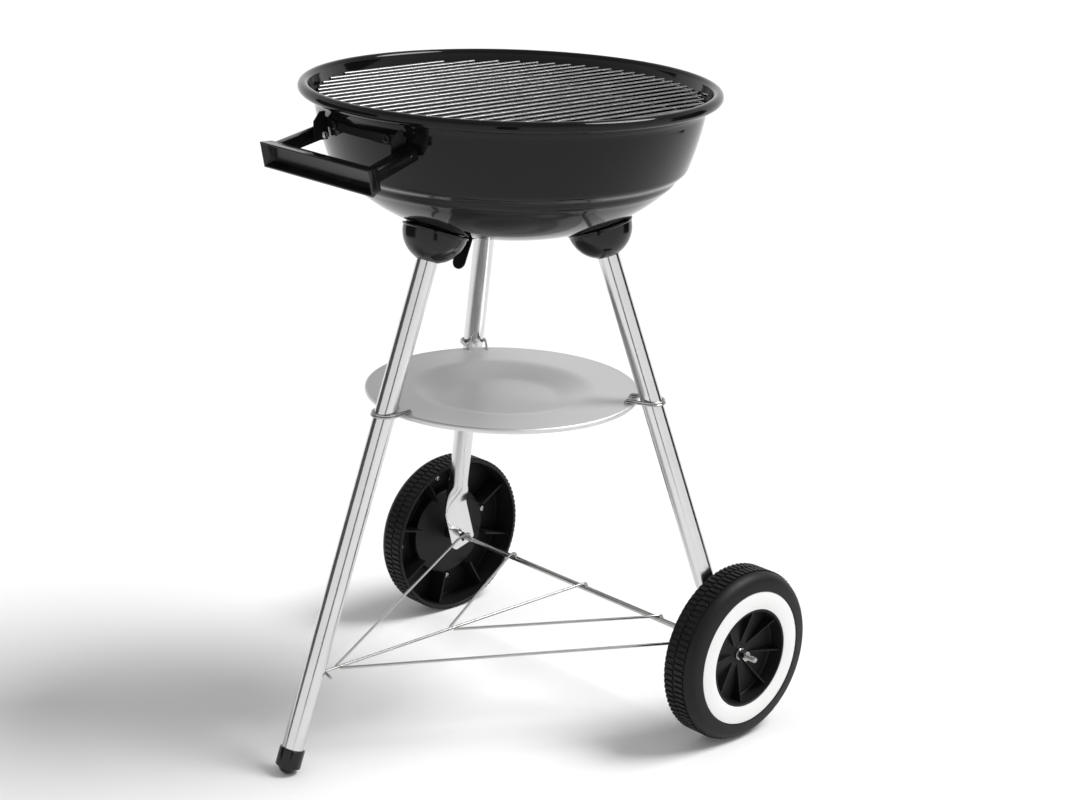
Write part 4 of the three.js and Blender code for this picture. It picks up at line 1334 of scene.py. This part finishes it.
# %% [markdown]
# ## Grates
#
# Both grates are straight wires welded across a wire ring, with two cross wires below. The cooking
# grate has fine wires close together, the charcoal grate fewer and heavier ones. The wires of one grate
# are joined into one piece.


# %% Grates
def make_grate(name, node, ring_radius, ring_wire, bar_wire, pitch, turn):
    low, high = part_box(node)
    ring_z = low.z + 2.5 * MM
    centre = Vector(((low.x + high.x) / 2, (low.y + high.y) / 2, ring_z))
    circle = [Vector((x * MM, y * MM, 0)) for x, y in arc(0, 0, ring_radius, 0, 360 - 360 / 144, 143)]
    parts = [wire(f"{name}_ring", circle, ring_wire * MM, 12, cyclic=True)]
    level = (ring_wire + bar_wire - 1.2) * MM
    count = int(ring_radius / pitch - 0.2)
    for i in range(-count, count + 1):
        x = i * pitch
        half = math.sqrt((ring_radius + 1) ** 2 - x * x)
        ends = [(x * MM, -half * MM, level), (x * MM, half * MM, level)]
        parts.append(wire(f"{name}_bar_{i}", ends, bar_wire * MM, 12))
    under = level - (2 * bar_wire - 0.8) * MM
    for share in (-0.42, 0.42):
        half = ring_radius * math.sqrt(1 - share ** 2) * MM
        y = share * ring_radius * MM
        parts.append(wire(f"{name}_cross_{share}", [(-half, y, under), (half, y, under)], bar_wire * MM, 12))
    return place(join(*parts), Matrix.Translation(centre) @ rotation(turn, "Z"))


# The cooking grate gets the darkened chrome, whose colour is painted shade and dark reflection.
cooking = make_grate("cooking_wires", "cooking_grate", 191.5, 2.5, 1.85, 15, 0)
finished(cooking, "grate_chrome", "cooking_grate", "cooking_grate", angle=50)
coal = make_grate("charcoal_wires", "charcoal_grate", 171, 2.5, 2, 26, math.pi / 2)
finished(coal, "grate_zinc", "charcoal_grate", "charcoal_grate", angle=50)

# %% [markdown]
# ## Grate tabs
#
# Four small angle pieces on the wall carry the cooking grate. They are bent from strip, so their edges
# are slightly rounded.

# %% Grate tabs
TAB_REACH = 194.6
tab_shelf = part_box("grate_tab_1")[1].z / MM
for i in range(4):
    turn = ON_BOWL @ rotation((2 * i + 1) * math.pi / 4, "Z")
    shelf = block(f"shelf_{i + 1}", (9, 14, 1.5), (TAB_REACH - 4.5, 0, tab_shelf - 0.75), turn)
    drop = block(f"drop_{i + 1}", (1.7, 14, 14), (0, 0, 0))
    for vertex in drop.data.vertices:
        lean = -3.55 if vertex.co.z < 0 else -0.85
        vertex.co.x += (TAB_REACH + lean) * MM
        vertex.co.z += (tab_shelf - 7.0) * MM
    place(drop, turn)
    combine(shelf, drop, "UNION")
    apply_modifier(shelf, "BEVEL", width=0.3 * MM, segments=3, limit_method="ANGLE")
    finished(shelf, "black_steel", f"grate_tab_{i + 1}")

# %% [markdown]
# ## Vent damper
#
# The damper is a flat disc under the bottom of the bowl with four holes that match the vents, and an
# arm whose end is folded down into a tab for a finger. A bolt through the middle holds it.

# %% Vent damper
DAMPER_RADIUS = 33
PIVOT_HOLE = 2.8
LEVER_REACH, LEVER_WIDTH, LEVER_TAB = 61, 16, 33
LEVER_LEAN = math.radians(23)
PIVOT = Matrix.Translation((0, AXIS_Y, BOTTOM_Z - 0.4 * MM))
LEVER = PIVOT @ rotation(VENT_ANGLE, "Z")


def make_damper():
    damper = turned("damper_disc", [
        (0, -1.2), (DAMPER_RADIUS - 0.3, -1.2), (DAMPER_RADIUS, -0.9), (DAMPER_RADIUS, -0.3),
        (DAMPER_RADIUS - 0.3, 0), (0, 0)], 96)
    arm = block("lever_arm", (LEVER_REACH - 10, LEVER_WIDTH, 1.2), ((LEVER_REACH + 10) / 2, 0, -0.6))
    tab = cylinder("lever_tab", LEVER_WIDTH / 2, -1.5, 0, 64)
    for vertex in tab.data.vertices:      # the upper half of the round blank is drawn out into a strip
        x, y, z = vertex.co
        vertex.co = (z, y, -x - (LEVER_TAB - LEVER_WIDTH / 2) * MM if x > 0 else 0)
    place(tab, shift(LEVER_REACH - 0.05, 0, -0.05) @ rotation(-LEVER_LEAN, "Y"))
    tidy_mesh(tab)
    for extra in (arm, tab):
        combine(damper, extra, "UNION")
    holes = [cylinder(f"port_{i}", VENT_RADIUS, -5, 5, 32, rotation(i * math.pi / 2, "Z")
                      @ shift(VENT_CIRCLE)) for i in range(4)]
    cut(damper, *holes, cylinder("port_middle", PIVOT_HOLE, -5, 5, 24))
    return place(damper, LEVER)


finished(make_damper(), "black_steel", "vent_damper", "damper", angle=30)
damper_bolt = pan_head("damper_screw", 2.5, 5, 3, -9, 1.6, PIVOT @ rotation(math.pi, "X"))
finished(damper_bolt, "zinc_steel", "damper_bolt")
damper_hex = nut("damper_hex", 4.6, 2.6, 4, PIVOT @ shift(0, 0, 2))
finished(damper_hex, "zinc_steel", "damper_nut", angle=25)

# %% Print the size of the visual model
low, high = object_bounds()
print("visual box", [round(v, 4) for v in high - low])
